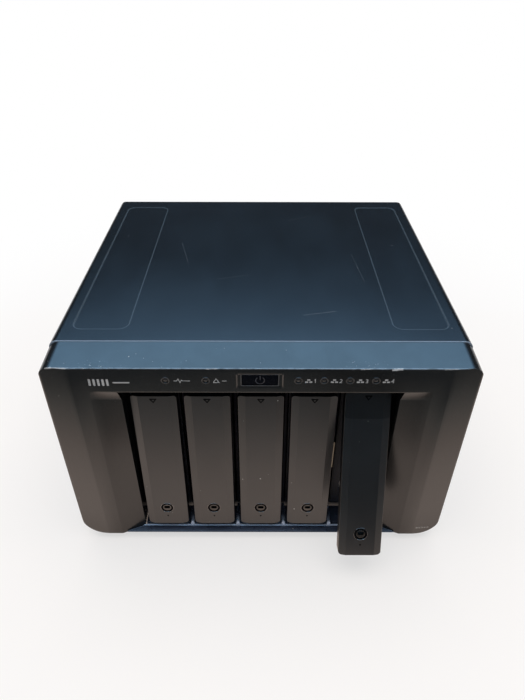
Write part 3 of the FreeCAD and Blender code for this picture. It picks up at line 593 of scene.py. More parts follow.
def scoop_painted_shade(m, spec):
    """Painted shade in the hollows beside the bays: they reflect less than the polished wings."""
    k = m.times(m.remap(m.size(m.axis("X")), span=(98.5, 92.0)),
                m.remap(m.axis("Z"), span=(78.0, 112.0)))
    # the painted shade ends at a line rising with the distance from the middle
    crease_z, crease_slope = 99.03, 0.342
    crease = m.plus(crease_z, m.times(m.size(m.axis("X")), crease_slope))
    k = m.times(k, m.remap(m.minus(m.axis("Z"), crease), span=(0.5, -0.2)))
    return m.times(m.without(k, amount=0.36), spec)


def grip_painted_shade(m, spec):
    """Painted shade by weaker reflection: on the flanks, where the gaps between handles are dark,
    and on the end that tucks under the band when a handle swings out.
    """
    normal = m.axes(m.node("NewGeometry").outputs["Normal"])
    flank_shade = m.remap(m.size(normal[0]), span=(0.65, 0.9))
    tuck_shade = m.times(m.remap(normal[2], span=(0.2, 0.3)),
                   m.remap(m.axis("Z"), span=(111.8, 112.5)))
    spec = m.times(m.without(flank_shade, amount=0.8), spec)
    return m.times(m.without(tuck_shade, amount=0.42), spec)


# ------------------------------------------------------------------ material families

def paint(name, dark, light, rough, dust, marks=None):
    """Powder-textured satin paint on sheet metal, with a painted highlight along its edges."""
    wear_and_highlight = (0.3, 0.33, 0.36)
    m = Mat(name)
    big = m.noise(scale=0.012, detail=4, rough=0.6)
    fine = m.noise(scale=1.6, detail=5, rough=0.7)
    speckle = m.noise(scale=2.6, detail=2, rough=0.5, seed=7)
    col = m.mix(m.remap(big, span=(0.35, 0.68)), dark, light)
    col = m.stain(col, m.remap(speckle, span=(0.66, 0.78)), amount=0.22, tone=wear_and_highlight)
    grains = m.math("MAXIMUM", m.times(specks(m, scale=0.07, size=0.026, keep=0.66), dust),
                    m.times(specks(m, scale=0.16, size=0.03, keep=0.78), dust * 0.5))
    col = m.mix(grains, col, (0.55, 0.57, 0.6))
    if marks:
        col = marks(m, col)
    smear = m.noise(scale=0.02, detail=5, rough=0.6, stretch=(1, 0.5, 1), dist=0.4)
    r = m.grained(m.remap(smear, span=(0.25, 0.75), to=rough), fine, amount=0.12)
    n = m.bump(fine, strength=0.35, depth=0.035)
    # painted highlight: edges and corners lightened in the wear tone
    col = m.stain(col, m.edge(), amount=0.25, tone=wear_and_highlight)
    return m.out(col, r, metal=0.0, normal=n, spec=0.5)


def plastic(name, dark, light, rough, grain=2.2, bump=0.18, dust=0.0, edge=0.0,
            edge_col=(0.16, 0.16, 0.16), marks=None, reflection_shade=None, coat=None, spec=0.5):
    """Moulded plastic with spark-eroded texture, handling marks, dust, and edges lightened as
    rubbed wear and as painted highlight.
    """
    m = Mat(name)
    big = m.noise(scale=0.02, detail=4, rough=0.6)
    fine = m.noise(scale=grain, detail=4, rough=0.65)
    col = m.mix(m.remap(big, span=(0.32, 0.7)), dark, light)
    handled = m.remap(m.noise(scale=1.3, rough=0.6, seed=11), span=(0.6, 0.75))
    col = m.stain(col, handled, amount=0.10, tone=edge_col)
    if dust:
        coarse = m.times(specks(m, scale=0.085, size=0.034, keep=0.62), min(1.0, dust * 1.5))
        small = m.times(specks(m, scale=0.2, size=0.042, keep=0.78), dust * 0.8)
        col = m.mix(m.math("MAXIMUM", coarse, small), col, (0.5, 0.5, 0.48))
    # rubbed wear and painted highlight along edges and corners, in edge_col
    if edge:
        e = m.times(m.edge(), edge)
        broken = m.noise(scale=0.35, detail=4, rough=0.7, seed=5)
        col = m.mix(m.times(e, m.remap(broken, span=(0.35, 0.6))), col, edge_col)
    if marks:
        col = marks(m, col)
    if reflection_shade:
        spec = reflection_shade(m, spec)
    smear = m.noise(scale=0.045, detail=5, rough=0.7, stretch=(1, 1, 0.5), dist=0.8, seed=4)
    r = m.grained(m.remap(smear, span=(0.3, 0.7), to=rough), fine, amount=0.1)
    n = m.bump(fine, strength=bump, depth=0.03)
    return m.out(col, r, metal=0.0, normal=n, coat=coat,
                 coat_rough=0.25 if coat else None, spec=spec)


def metal(name, dark, light, rough, brush=None, bump=0.1):
    """Bare metal; brush stretches the grain per axis."""
    m = Mat(name)
    if brush:
        grain = m.noise(scale=1.2, detail=4, rough=0.65, stretch=brush)
    else:
        grain = m.noise(scale=1.5, detail=4, rough=0.6)
    blot = m.noise(scale=0.06, detail=4, rough=0.6, seed=6)
    col = m.mix(m.remap(blot, span=(0.3, 0.7)), dark, light)
    r = m.remap(grain, span=(0.3, 0.7), to=rough)
    return m.out(col, r, metal=1.0, normal=m.bump(grain, strength=bump, depth=0.02))


def board(name):
    """Solder mask with buried tracks and vias."""
    m = Mat(name)
    d = m.voronoi(scale=0.35, stretch=(1, 1, 1))[0]
    tracks = m.noise(scale=0.4, detail=1, rough=0.3, stretch=(0.3, 2.6, 2.6))
    col = m.mix(m.remap(tracks, span=(0.48, 0.52)), (0.008, 0.06, 0.03), (0.012, 0.1, 0.045))
    col = m.mix(m.remap(d, span=(0.10, 0.07)), col, (0.5, 0.42, 0.2))
    r = m.remap(m.noise(scale=0.8), span=(0.3, 0.7), to=(0.3, 0.45))
    return m.out(col, r, metal=0.0, normal=m.bump(tracks, strength=0.3, depth=0.04))


def rubber(name):
    m = Mat(name)
    fine = m.noise(scale=1.1, detail=5, rough=0.7)
    col = m.mix(m.remap(m.noise(scale=0.1, detail=4), span=(0.3, 0.7)),
                (0.012, 0.012, 0.013), (0.03, 0.03, 0.032))
    r = m.remap(fine, span=(0.3, 0.7), to=(0.72, 0.9))
    return m.out(col, r, metal=0.0, normal=m.bump(fine, strength=0.5, depth=0.05), spec=0.3)


# ------------------------------------------------------------------ materials
# The two colours after each name are the dark and light ends of its blotches.

TOP = paint("cover_paint", (0.0024, 0.0032, 0.0042), (0.0036, 0.0048, 0.0062),
            rough=(0.195, 0.235), dust=0.35, marks=cover_marks)
# the bezel's lightened edges are partly painted highlight, which draws the bright line along its
# crease
BEZEL = plastic("bezel_plastic", (0.0048, 0.0052, 0.0056), (0.0066, 0.0070, 0.0074),
                rough=(0.20, 0.25), dust=0.6, spec=0.35, edge=0.35,
                edge_col=(0.13, 0.14, 0.15), marks=bezel_marks, reflection_shade=scoop_painted_shade)
HANDLE = plastic("handle_plastic", (0.0050, 0.0060, 0.0070), (0.0070, 0.0082, 0.0094),
                 rough=(0.33, 0.38), dust=0.55, edge=0.2, edge_col=(0.09, 0.095, 0.1),
                 reflection_shade=grip_painted_shade)
# the sill's bluish colour is partly painted reflection of the sky on its shelf, and its bright
# bluish edges are painted highlights
SILL = plastic("sill_plastic", (0.022, 0.028, 0.045), (0.030, 0.037, 0.058),
               rough=(0.24, 0.34), dust=0.3, edge=0.9, edge_col=(0.24, 0.31, 0.42),
               marks=sill_marks)
BLACK = plastic("black_plastic", (0.0045, 0.0060, 0.0100), (0.008, 0.0105, 0.0165),
                rough=(0.45, 0.6), grain=1.4, bump=0.3, dust=0.25, edge=0.15, spec=0.16)
CAGE = plastic("cage_black", (0.0035, 0.0050, 0.0095), (0.006, 0.0085, 0.016),
               rough=(0.45, 0.6), grain=1.2, bump=0.25, dust=0.1, edge=0.1, spec=0.08)
BUTTON = plastic("button_gloss", (0.0006, 0.0008, 0.0030), (0.0009, 0.0012, 0.0042),
                 rough=(0.08, 0.14), grain=3, bump=0.04, dust=0.25, spec=0.10)
LENS = plastic("lamp_lens", (0.010, 0.010, 0.010), (0.017, 0.016, 0.016),
               rough=(0.15, 0.25), grain=3, bump=0.05, dust=0.1, coat=0.3)
RING = plastic("lamp_ring", (0.010, 0.011, 0.012), (0.016, 0.017, 0.018), rough=(0.26, 0.34))
# the trim's lightened edges are painted highlights on the window frame
TRIM = plastic("trim_satin", (0.040, 0.040, 0.043), (0.055, 0.055, 0.058),
               rough=(0.25, 0.35), dust=0.1, edge=0.4, edge_col=(0.13, 0.125, 0.12), spec=0.4)
PRINT = plastic("print_grey", (0.30, 0.31, 0.32), (0.40, 0.41, 0.42),
                rough=(0.45, 0.6), bump=0.1)
PRINT_DIM = plastic("print_dim", (0.022, 0.023, 0.030), (0.033, 0.034, 0.043),
                    rough=(0.45, 0.6), bump=0.1)
PRINT_SOFT = plastic("print_soft", (0.16, 0.15, 0.14), (0.22, 0.21, 0.2),
                     rough=(0.45, 0.6), bump=0.1)
MARK = plastic("mark_dark", (0.0008, 0.0009, 0.0012), (0.0016, 0.0017, 0.0022),
               rough=(0.6, 0.7), spec=0.03)
SPRING = metal("spring_steel", (0.20, 0.18, 0.14), (0.30, 0.275, 0.22),
               rough=(0.36, 0.5), brush=(3, 3, 0.3), bump=0.06)
LOCK = metal("lock_metal", (0.10, 0.098, 0.095), (0.17, 0.165, 0.16),
             rough=(0.2, 0.32), bump=0.05)
KEY = metal("key_metal", (0.050, 0.048, 0.046), (0.075, 0.072, 0.070),
            rough=(0.30, 0.40), bump=0.05)
STEEL = metal("sheet_steel", (0.42, 0.43, 0.44), (0.56, 0.57, 0.58),
              rough=(0.3, 0.45), brush=(0.15, 2.5, 2.5))
REAR = paint("rear_paint", (0.010, 0.012, 0.014), (0.016, 0.018, 0.021),
             rough=(0.45, 0.6), dust=0.2)
PCB = board("circuit_board")
SHIELD = metal("jack_metal", (0.5, 0.5, 0.5), (0.68, 0.68, 0.68),
               rough=(0.2, 0.32), brush=(3, 0.3, 3))
ALU = metal("aluminium", (0.42, 0.43, 0.44), (0.6, 0.61, 0.62),
            rough=(0.32, 0.48), brush=(2, 2, 0.4))
SCREW = metal("screw_steel", (0.10, 0.10, 0.11), (0.2, 0.2, 0.21), rough=(0.25, 0.4))
WIRE = metal("wire_chrome", (0.32, 0.32, 0.33), (0.5, 0.5, 0.51), rough=(0.14, 0.25))
RUBBER = rubber("foot_rubber")
CELL = metal("cell_steel", (0.55, 0.55, 0.54), (0.7, 0.7, 0.69),
             rough=(0.18, 0.3), brush=(0.3, 3, 3))
LEAD = plastic("lead_sleeve", (0.012, 0.012, 0.013), (0.02, 0.02, 0.021),
               rough=(0.4, 0.5), grain=0.8, bump=0.6)

BY_SLOT = {
    "cover_paint": TOP, "bezel_plastic": BEZEL, "handle_plastic": HANDLE,
    "open_handle_plastic": HANDLE, "sill_plastic": SILL, "lock_metal": LOCK,
    "lamp_lens": LENS, "button_plastic": BUTTON, "black_plastic": BLACK,
    "sheet_steel": STEEL, "rear_paint": REAR, "circuit_board": PCB, "jack_metal": SHIELD,
    "aluminium": ALU, "screw_steel": SCREW, "wire_chrome": WIRE, "foot_rubber": RUBBER,
    "cell_steel": CELL}
BY_NODE = {"drive_cage": CAGE, "power_harness": LEAD, "base_pan": REAR}


def dress_cad_pieces():
    slot_of = {s["node"]: s["material_slot"] for s in frame["record"]["subparts"]}
    for name, ob in frame["nodes"].items():
        mat = BY_NODE.get(name) or BY_SLOT[slot_of[name]]
        if not ob.material_slots:
            ob.data.materials.append(mat)
        for s in ob.material_slots:
            s.material = mat


# ------------------------------------------------------------------ bezel

def bay_recess():
    """The bay opening: angled scoops at both sides, each with a sloped roof under the band."""
    foot_z, roof_z, drop_z, back_z = -4, 132.2, 5.3, 137.8
    scoop_w, scoop_d, steps = SCOOP_X - BAY_X, 6.0, 8
    # x, y up to the roof's front edge, y at its back edge
    left = [(-112.5, -6, -6)]
    left += [(-SCOOP_X + scoop_w * j / steps, scoop_d * j / steps, 0.03 + 0.22 * j / steps)
             for j in range(steps + 1)]
    left.append((-BAY_X, 24, 24))
    plan = left + [(-x, a, b) for x, a, b in left[::-1]]

    def roof(x):
        return roof_z - drop_z * min(1, max(0, SCOOP_X - abs(x)) / scoop_w)

    return loft("cutter", [[(x, a, foot_z) for x, a, b in plan],
                           [(x, a, roof(x)) for x, a, b in plan],
                           [(x, b, back_z) for x, a, b in plan]])


def window_frame():
    """The shallow sunk frame with sloped sides around the button window."""
    # x0, x1, z0, z1, corner radius, y
    rings = ((-13.95, 12.75, 140.0, 152.0, 0.9, -0.3),
             (-13.75, 12.55, 140.35, 151.7, 0.8, 0.0),
             (-13.05, 11.85, 142.35, 150.5, 0.5, 0.5))
    return loft("cutter", [[(x, ring[5], z) for x, z in rrect(*ring[:5], 5)] for ring in rings])


def build_bezel():
    z0, z1 = BEZEL_Z
    bezel = extrude("bezel_shell", rounded([(-HALF_W, z0, 15), (HALF_W, z0, 15),
                                            (HALF_W, z1, 8), (-HALF_W, z1, 8)], 12),
                    "XZ", 0, BEZEL_DEPTH)
    for v in bezel.data.vertices:
        if v.co.z > 100:
            v.co.z += v.co.y * 0.0911           # the top rises towards the seam
    side = HALF_W + 0.01
    meet(bezel, cutter(rounded([(-side, 24, 0), (-side, WING_SET, 1.9), (-WING_X, 0, 0),
                                (WING_X, 0, 0), (side, WING_SET, 1.9), (side, 24, 0)], 5),
                       "XY", 0, 170))
    cut(bezel, bay_recess())
    # the top edge leans back a little before it turns over
    cut(bezel, cutter([(-1, 153.3), (0, 153.3), (0.27, 154.9), (0.27, 156.5), (-1, 156.5)],
                      "YZ", -116.5, 116.5))
    # hollows behind the band and behind each wing
    cut(bezel, cutter(rrect(-106, 106, 140.3, 152.2, 1), "XZ", 3, 24))
    wing = ((84.4, 24), (84.4, 8.4), (98.4, 3.2), (106, 2.8), (118.6, 4.2), (121, 7.6), (121, 24))
    for s in (-1, 1):
        cut(bezel, cutter([(s * x, y) for x, y in wing], "XY", 10, 135))
    cut(bezel, window_frame())
    cut(bezel, cutter(rrect(*WINDOW_X, *WINDOW_Z, 0.5), "XZ", -1, 4))
    for x in LAMPS_X:
        cut(bezel, cutter(circle(x, LAMP_Z, 1.6, 28), "XZ", -1, 4))
    finish(bezel, BEZEL, "chassis", bevel=0.55, segments=3)
    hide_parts("front_bezel")


# ------------------------------------------------------------------ cover

def fold(half, top, low, r, segments=10):
    """An open arch, left foot to right foot, with bent upper corners."""
    out = [(-half, low)]
    for k in range(segments + 1):
        t = PI - k / segments * PI / 2
        out.append((-half + r + r * math.cos(t), top - r + r * math.sin(t)))
    for k in range(segments + 1):
        t = PI / 2 - k / segments * PI / 2
        out.append((half - r + r * math.cos(t), top - r + r * math.sin(t)))
    out.append((half, low))
    return out


def build_cover():
    outer = fold(COVER_HALF, COVER_TOP, COVER_LOW, COVER_R)
    inner = fold(COVER_HALF - SHEET, COVER_TOP - SHEET, COVER_LOW, COVER_R - SHEET)
    cover = extrude("cover_shell", outer + inner[::-1], "XZ", 22.75, COVER_BACK)
    with edited(cover) as bm:                   # round the front edge of the top
        lip = []
        for e in bm.edges:
            a, b = (v.co for v in e.verts)
            if a.y < 22.8 and b.y < 22.8 and min(a.z, b.z) > 150 and a.z + b.z > 312.5:
                lip.append(e)
        bmesh.ops.bevel(bm, geom=lip, offset=0.45, offset_type="OFFSET", segments=3,
                        profile=0.5, affect="EDGES", clamp_overlap=True)
        bmesh.ops.recalc_face_normals(bm, faces=bm.faces)
    rear = COVER_BACK - SHEET
    for s in (-1, 1):
        # sunk top panel and upright strip at the rear
        cut(cover, cutter(rrect(*mirrored(s, *PANEL_X), *PANEL_Y, 6, 8), "XY", 156.5, 159))
        x0, x1 = mirrored(s, 115.8, 122.4)
        join(cover, cutter([(x0, 10), (x1, 10), (x1, 150), (x0, 150)], "XZ", rear, COVER_BACK))
    for x in (-119, 119):
        for z in (30, 130):
            cut(cover, cutter(circle(x, z, 1.6, 20), "XZ", rear - 1, COVER_BACK + 1))
    slot_y, slot_pitch, slot_w = 60, 8, 3
    for s in (-1, 1):
        x0, x1 = mirrored(s, 121, 125)
        for k in range(13):
            y = slot_y + slot_pitch * k
            cut(cover, cutter(rrect(y, y + slot_w, 52, 86, 1.45, 5), "YZ", x0, x1))
    finish(cover, TOP, "chassis", bevel=0.22)
    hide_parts("top_cover")


# ------------------------------------------------------------------ sill

# y, z: the sill's section
SILL_SECTION = [
    (22.3, 6.5), (2.0, 6.5), (0.9, 6.8), (0.45, 7.4), (0.8, 7.9), (1.6, 8.15), (4.9, 8.5),
    (5.4, LEDGE_Z), (6.1, LEDGE_Z), (6.5, 8.5), (6.7, 7.6), (7.8, 7.6), (8.0, 8.7), (22.3, 8.7)]
# half width, front y, z: a divider stub, narrowing upwards
STUB_RINGS = ((1.7, 4.9, 7.3), (1.5, 5.0, 9.4), (0.75, 5.6, 12.4))


def build_sill():
    sill = extrude("sill_shell", SILL_SECTION, "YZ", -100, 100)
    meet(sill, cutter(rounded([(-95.7, 0.2, 0.5), (-81.15, 5.83, 0), (-81.15, 23, 0),
                               (81.15, 23, 0), (81.15, 5.83, 0), (95.7, 0.2, 0.5)], 3),
                      "XY", 0, 20))
    for k in (-1.5, -0.5, 0.5, 1.5):
        x = BAY_PITCH * k
        join(sill, loft("cutter", [[(x - w, y, z), (x + w, y, z), (x + w, 22, z), (x - w, 22, z)]
                                   for w, y, z in STUB_RINGS]))
    finish(sill, SILL, "chassis", bevel=0.35, segments=3)
    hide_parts("front_sill")


# ------------------------------------------------------------------ handles and locks
# Drawn about the pivot pin: y runs back, z up.

PIN_Y, PIN_Z = 14.5, 119.7
GRIP_TOP, GRIP_LOW = 6.6, -105.7
GRIP_HALF = 13.8
FACE = -5.7                 # front face
FLANK_W = 4.6               # the slanted strip along each side of the face
WALL = 2
LOCK_Z = -89.9
SHUT_TILT, OPEN_TILT = -3.3, -20.3      # degrees; the last handle is swung out


def triangle(half, top, tip, r):
    return rounded([(-half, top, r), (half, top, r), (0, tip, r)], 3)


def handle_mesh():
    w = GRIP_HALF
    h = extrude("handle", rounded([
        (-w, FACE + 1.1, 0.5), (-w + FLANK_W, FACE, 1.2), (w - FLANK_W, FACE, 1.2),
        (w, FACE + 1.1, 0.5), (w, 2.4, 0), (-w, 2.4, 0)], 4), "XY", GRIP_LOW, GRIP_TOP)
    meet(h, cutter(rrect(-w - 0.01, w + 0.01, GRIP_LOW, GRIP_TOP, 2.3, 6), "XZ", -10, 6))
    meet(h, cutter(rounded([(-8, GRIP_LOW - 1, 0), (-8, GRIP_TOP + 0.01, 0),
                            (2.4, GRIP_TOP + 0.01, 4), (2.4, GRIP_LOW - 1, 0)], 8),
                   "YZ", -20, 20))
    # hollow back with a boss for the lock, then the pin and lock holes
    cut(h, cutter(rrect(-w + WALL, w - WALL, GRIP_LOW + WALL, GRIP_TOP - WALL, 1.2, 4),
                  "XZ", FACE + 2.2, 6))
    join(h, cutter(circle(0, LOCK_Z, 6.5, 40), "XZ", FACE + 2.0, 0.6))
    cut(h, cutter(circle(0, 0, 1.05, 20), "YZ", -15, 15))
    cut(h, cutter(circle(0, LOCK_Z, 4.0, 40), "XZ", -10, 4))
    cut(h, cutter(rrect(-w + WALL, w - WALL, GRIP_TOP - 3, GRIP_TOP + 2, 0.6, 3), "XZ", -0.6, 6))
    arrow = cutter(triangle(2.5, 4.85, 1.45, 0.35), "XZ", -10, FACE + 0.5)
    cut(arrow, cutter(triangle(1.35, 4.2, 2.35, 0.25), "XZ", -11, 0))
    cut(h, arrow)
    return h


def collar_mesh():
    """The thin raised collar around the key lock; its near-black, non-reflective finish is painted
    shade for a sunk groove round the barrel.
    """
    f = FACE
    return lathe("collar", [
        (3.12, f + 0.8), (3.12, f + 0.12), (3.25, f - 0.04), (4.05, f - 0.06),
        (4.2, f + 0.05), (4.2, f + 0.2), (4.0, f + 0.3), (3.96, f + 0.8)], (0, 0, LOCK_Z), 56)


def rim_mesh():
    """A fine satin edge outside the dark collar."""
    f = FACE
    return lathe("rim", [
        (4.2, f + 0.1), (4.22, f - 0.06), (4.32, f - 0.12), (4.5, f - 0.08),
        (4.6, f + 0.04), (4.5, f + 0.1)], (0, 0, LOCK_Z), 56)


def barrel_mesh():
    """The lock barrel with its key slot and a tongue behind."""
    f, z = FACE, LOCK_Z
    barrel = lathe("barrel", [
        (0, f + 0.02), (2.6, f + 0.02), (2.85, f + 0.12), (2.98, f + 0.34), (3.0, f + 0.9),
        (3.02, f + 1.7), (3.95, f + 1.8), (3.95, 1.0), (0, 1.0)], (0, 0, z))
    cut(barrel, cutter(rrect(-2.0, 2.0, z - 0.75, z + 1.75, 0.9, 5), "XZ", f - 1, f + 2.6))
    join(barrel, cutter(rounded([(-2.4, z - 2.4, 1), (2.4, z - 2.4, 1), (2.4, z + 7, 1.6),
                                 (-2.4, z + 7, 1.6)], 5), "XZ", 0.8, 2.2))
    return barrel


def lock_sign_mesh():
    """A small dark wedge below the lock, point down."""
    z = LOCK_Z - 8.0
    return extrude("sign", rounded([(-0.75, z + 0.6, 0.2), (0.75, z + 0.6, 0.2),
                                    (0, z - 1.2, 0.25)], 3), "XZ", FACE - 0.03, FACE + 0.05)


def arrow_mesh():
    """Dark paint in the floor of the engraved arrow."""
    a = extrude("arrow", triangle(2.55, 4.9, 1.4, 0.35), "XZ", FACE - 0.02, FACE + 0.51)
    cut(a, cutter(triangle(1.05, 4.05, 2.65, 0.2), "XZ", -11, 0))
    return a


def build_handles():
    # mesh, name, material, moving body, CAD piece, bevel, slot
    parts = (
        (handle_mesh(), "handle_%d_shell", HANDLE, "bay_%d_lever", "bay_%d_handle", 0.35,
         "handle_plastic"),
        (collar_mesh(), "handle_%d_collar", MARK, "bay_%d_lever", None, 0, "handle_plastic"),
        (rim_mesh(), "handle_%d_rim", LOCK, "bay_%d_lever", None, 0, "lock_metal"),
        (barrel_mesh(), "lock_%d_barrel", KEY, "bay_%d_key", "bay_%d_lock", 0.12, "lock_metal"),
        (lock_sign_mesh(), "handle_%d_sign", MARK, "bay_%d_lever", None, 0, "handle_plastic"),
        (arrow_mesh(), "handle_%d_arrow", MARK, "bay_%d_lever", None, 0, "handle_plastic"))
    for n in range(1, BAY_COUNT + 1):
        tilt = math.radians(SHUT_TILT if n < BAY_COUNT else OPEN_TILT)
        place = Matrix.Translation(P(BAY_PITCH * (n - 3), PIN_Y, PIN_Z))
        place = place @ Matrix.Rotation(tilt, 4, "X")
        for source, name, mat, body, cad, bevel, slot in parts:
            ob = source.copy()
            ob.data = source.data.copy()
            ob.name = name % n
            ob.data.name = name % n
            scene.collection.objects.link(ob)
            finish(ob, mat, body % n, bevel=bevel, place=place)
            if cad:
                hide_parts(cad % n)
    for part in parts:
        drop(part[0])


def build_spring():
    """The bright contact spring on the divider between the fourth and fifth bays."""
    x, z0, z1 = BAY_PITCH * 1.5, 52, 76
    # x offset, y, corner radius
    section = ((-0.7, 22.9, 0), (-0.7, 21.6, 0.4), (0.4, 20.6, 0.5), (1.25, 21.3, 0.3),
               (1.0, 21.7, 0.2), (0.4, 21.2, 0.3), (-0.2, 21.9, 0.2), (-0.2, 22.9, 0))
    spring = extrude("divider_4_spring", rounded([(x + dx, y, r) for dx, y, r in section], 4),
                     "XY", z0, z1)
    meet(spring, cutter(rrect(x - 3, x + 3, z0, z1, 1.0, 4), "XZ", 15, 25))
    finish(spring, SPRING, "chassis", bevel=0.1)


# ------------------------------------------------------------------ power button and lamps

def build_button():
    (x0, x1), (z0, z1) = WINDOW_X, WINDOW_Z
    gap = 0.12
    button = extrude("button_cap", rrect(x0 + gap, x1 - gap, z0 + gap, z1 - gap, 0.45, 5),
                     "XZ", 0.9, 7.0)
    join(button, cutter(rrect(-12.5, 11.0, 141.2, 151.4, 0.4, 3), "XZ", 3.3, 4.5))
    finish(button, BUTTON, "power_button", bevel=0.25, segments=3)
    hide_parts("power_button")

    # a thin satin surround whose two uprights catch the light
    trim = extrude("button_trim", rrect(x0 - 0.55, x1 + 0.55, 142.3, 150.55, 0.5, 5),
                   "XZ", 0.3, 0.72)
    cut(trim, cutter(rrect(x0, x1, z0, z1, 0.45, 5), "XZ", -0.7, 1.72))
    finish(trim, TRIM, "chassis", bevel=0.1, segments=3)


def build_button_sign():
    """The power sign: an open ring and an upright bar."""
    cx, cz, r, width, segments = -0.45, 146.0, 2.45, 0.45, 28
    a0, a1 = math.radians(128), math.radians(412)
    y0, y1 = 0.86, 0.95

    def arc(radius, start, end):
        turns = [start + (end - start) * k / segments for k in range(segments + 1)]
        return [(cx + radius * math.cos(t), cz + radius * math.sin(t)) for t in turns]

    ring = extrude("button_sign", arc(r + width / 2, a0, a1) + arc(r - width / 2, a1, a0),
                   "XZ", y0, y1)
    bar = extrude("bar", rrect(-0.68, -0.22, 146.5, 149.3, 0.15, 3), "XZ", y0, y1)
    with edited(ring) as bm:
        bm.from_mesh(bar.data)
    drop(bar)
    finish(ring, PRINT_DIM, "power_button")


# radius, y
LENS_PROFILE = [(0, 0.05), (0.7, 0.1), (1.2, 0.25), (1.5, 0.6), (1.55, 1.0), (1.55, 10.0),
                (0, 10.0)]
RIM_PROFILE = [(1.62, 0.4), (1.6, 0.1), (1.75, -0.1), (2.1, -0.2), (2.35, -0.12),
               (2.45, 0.04), (2.45, 0.4)]


def build_lamps():
    for n, x in enumerate(LAMPS_X, 1):
        lens = lathe("lamp_%d_lens" % n, LENS_PROFILE, (x, 0, LAMP_Z), 32)
        finish(lens, LENS, "chassis")
        if n == 1:
            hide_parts("lamp_windows")
        rim = lathe("lamp_%d_rim" % n, RIM_PROFILE, (x, 0, LAMP_Z), 36)
        finish(rim, RING, "chassis")


# ------------------------------------------------------------------ printed signs

SIGN_Z = 146.3              # middle of the signs beside the lamps
# strokes (x, z) about each digit's middle
DIGITS = {
    1: [(-0.5, 0.7), (0.1, 1.3), (0.1, -1.3)],
    2: [(-0.65, 1.05), (0.1, 1.25), (0.6, 0.8), (0.45, 0.1), (-0.6, -1.1), (0.7, -1.1)],
    3: [(-0.65, 1.1), (0.4, 1.15), (0.55, 0.5), (-0.1, 0.05), (0.6, -0.45), (0.4, -1.1),
        (-0.65, -1.1)],
    4: [(0.75, -0.45), (-0.75, -0.45), (0.3, 1.25), (0.3, -1.3)],
}


def sign(name, shapes, mat=PRINT):
    """Flat printed shapes, a few hundredths proud of the face."""
    bm = bmesh.new()
    for outline in shapes:
        shape = extrude("shape", outline, "XZ", -0.03, 0.04)
        bm.from_mesh(shape.data)
        drop(shape)
    ob = new_solid(name, bm)
    finish(ob, mat, "chassis")
    return ob


def build_signs():
    z = SIGN_Z
    # a pulse line beside the first lamp
    sign("status_sign", [stroke([(-48.6, z), (-46.8, z), (-46.0, z + 1.3), (-45.0, z - 1.3),
                                 (-44.2, z + 0.6), (-43.6, z), (-39.4, z)], 0.42)])
    # a triangle with a bar beside the second
    sign("warning_sign", [stroke([(-26.6, z - 1.2), (-23.2, z - 1.2), (-24.9, z + 1.5),
                                  (-26.45, z - 0.95)], 0.4),
                          rrect(-21.6, -19.0, z - 0.22, z + 0.22, 0.1, 2)])
    # three blocks and a digit beside each of the others
    for n, x in enumerate(LAMPS_X[2:], 1):
        a = x + 3.7
        shapes = [rrect(a, a + 1.7, z - 1.2, z - 0.2, 0.1, 2),
                  rrect(a + 2.3, a + 4.0, z - 1.2, z - 0.2, 0.1, 2),
                  rrect(a + 1.15, a + 2.85, z + 0.3, z + 1.3, 0.1, 2),
                  stroke([(a + 5.6 + dx, z + dz) for dx, dz in DIGITS[n]], 0.36)]
        sign("network_%d_sign" % n, shapes)
    # five upright bars for the five bays, and a dash
    bars = [rrect(-96.2 + 2.5 * k, -94.9 + 2.5 * k, 142.6, 147.4, 0.45, 4)
            for k in range(BAY_COUNT)]
    sign("bays_sign", bars + [rrect(-82.6, -73.2, 144.5, 145.4, 0.3, 3)])
    # five small squares low on the right wing, sheared to lie on its slanted face
    squares = [rrect(108.2 + 1.9 * k, 109.5 + 1.9 * k, 12.2, 13.7, 0.2, 2)
               for k in range(BAY_COUNT)]
    wing = sign("wing_sign", squares, PRINT_SOFT)
    for v in wing.data.vertices:
        v.co.y += (v.co.x * 1000 - WING_X) * WING_SET / (HALF_W - WING_X) * MM


# ------------------------------------------------------------------ floor and bounce sheet

def sheet(name, x0, x1, y0, y1, z):
    """A flat rectangle, in metres."""
    bm = bmesh.new()
    corners = ((x0, y0, z), (x1, y0, z), (x1, y1, z), (x0, y1, z))
    bm.faces.new([bm.verts.new(p) for p in corners])
    return link_mesh(name, bm)


def is_ray(tree, kind):
    return tree.nodes.new("ShaderNodeLightPath").outputs["Is %s Ray" % kind]


def fill_ramp(ramp, stops):
    """Sets a colour ramp's stops: (position, rgb)."""
    for i, (position, rgb) in enumerate(stops):
        el = ramp.elements[i] if i < 2 else ramp.elements.new(position)
        el.position = position
        el.color = [*rgb, 1]


def build_floor():
    """A pale floor that, to the camera, fades to plain white away from the unit."""
    floor = sheet("floor", -6, 6, -6, 6, -0.0002)
    m = Mat("floor_pale")
    blotch = m.remap(m.noise(scale=0.004), span=(0.3, 0.7))
    m.out(m.mix(blotch, (0.90, 0.85, 0.82), (0.88, 0.83, 0.80)), rough=0.7, spec=0.2)
    glow = m.node("Emission")
    glow.inputs["Color"].default_value = (1.0, 1.0, 1.0, 1)
    glow.inputs["Strength"].default_value = 1.0
    blend = m.node("MixShader")
    far = m.remap(m.vector("LENGTH", m.mm), span=(180.0, 520.0), to=(0.60, 1.0))
    m.link(m.times(far, is_ray(m.t, "Camera")), blend.inputs[0])
    m.link(m.bsdf.outputs[0], blend.inputs[1])
    m.link(glow.outputs[0], blend.inputs[2])
    m.link(blend.outputs[0], m.t.nodes["Material Output"].inputs["Surface"])
    floor.data.materials.append(m.m)


WARM, MID, EVEN, COOL = (1.0, 0.82, 0.72), (1.0, 0.93, 0.84), (0.98, 1.0, 0.95), (0.80, 1.02, 1.20)
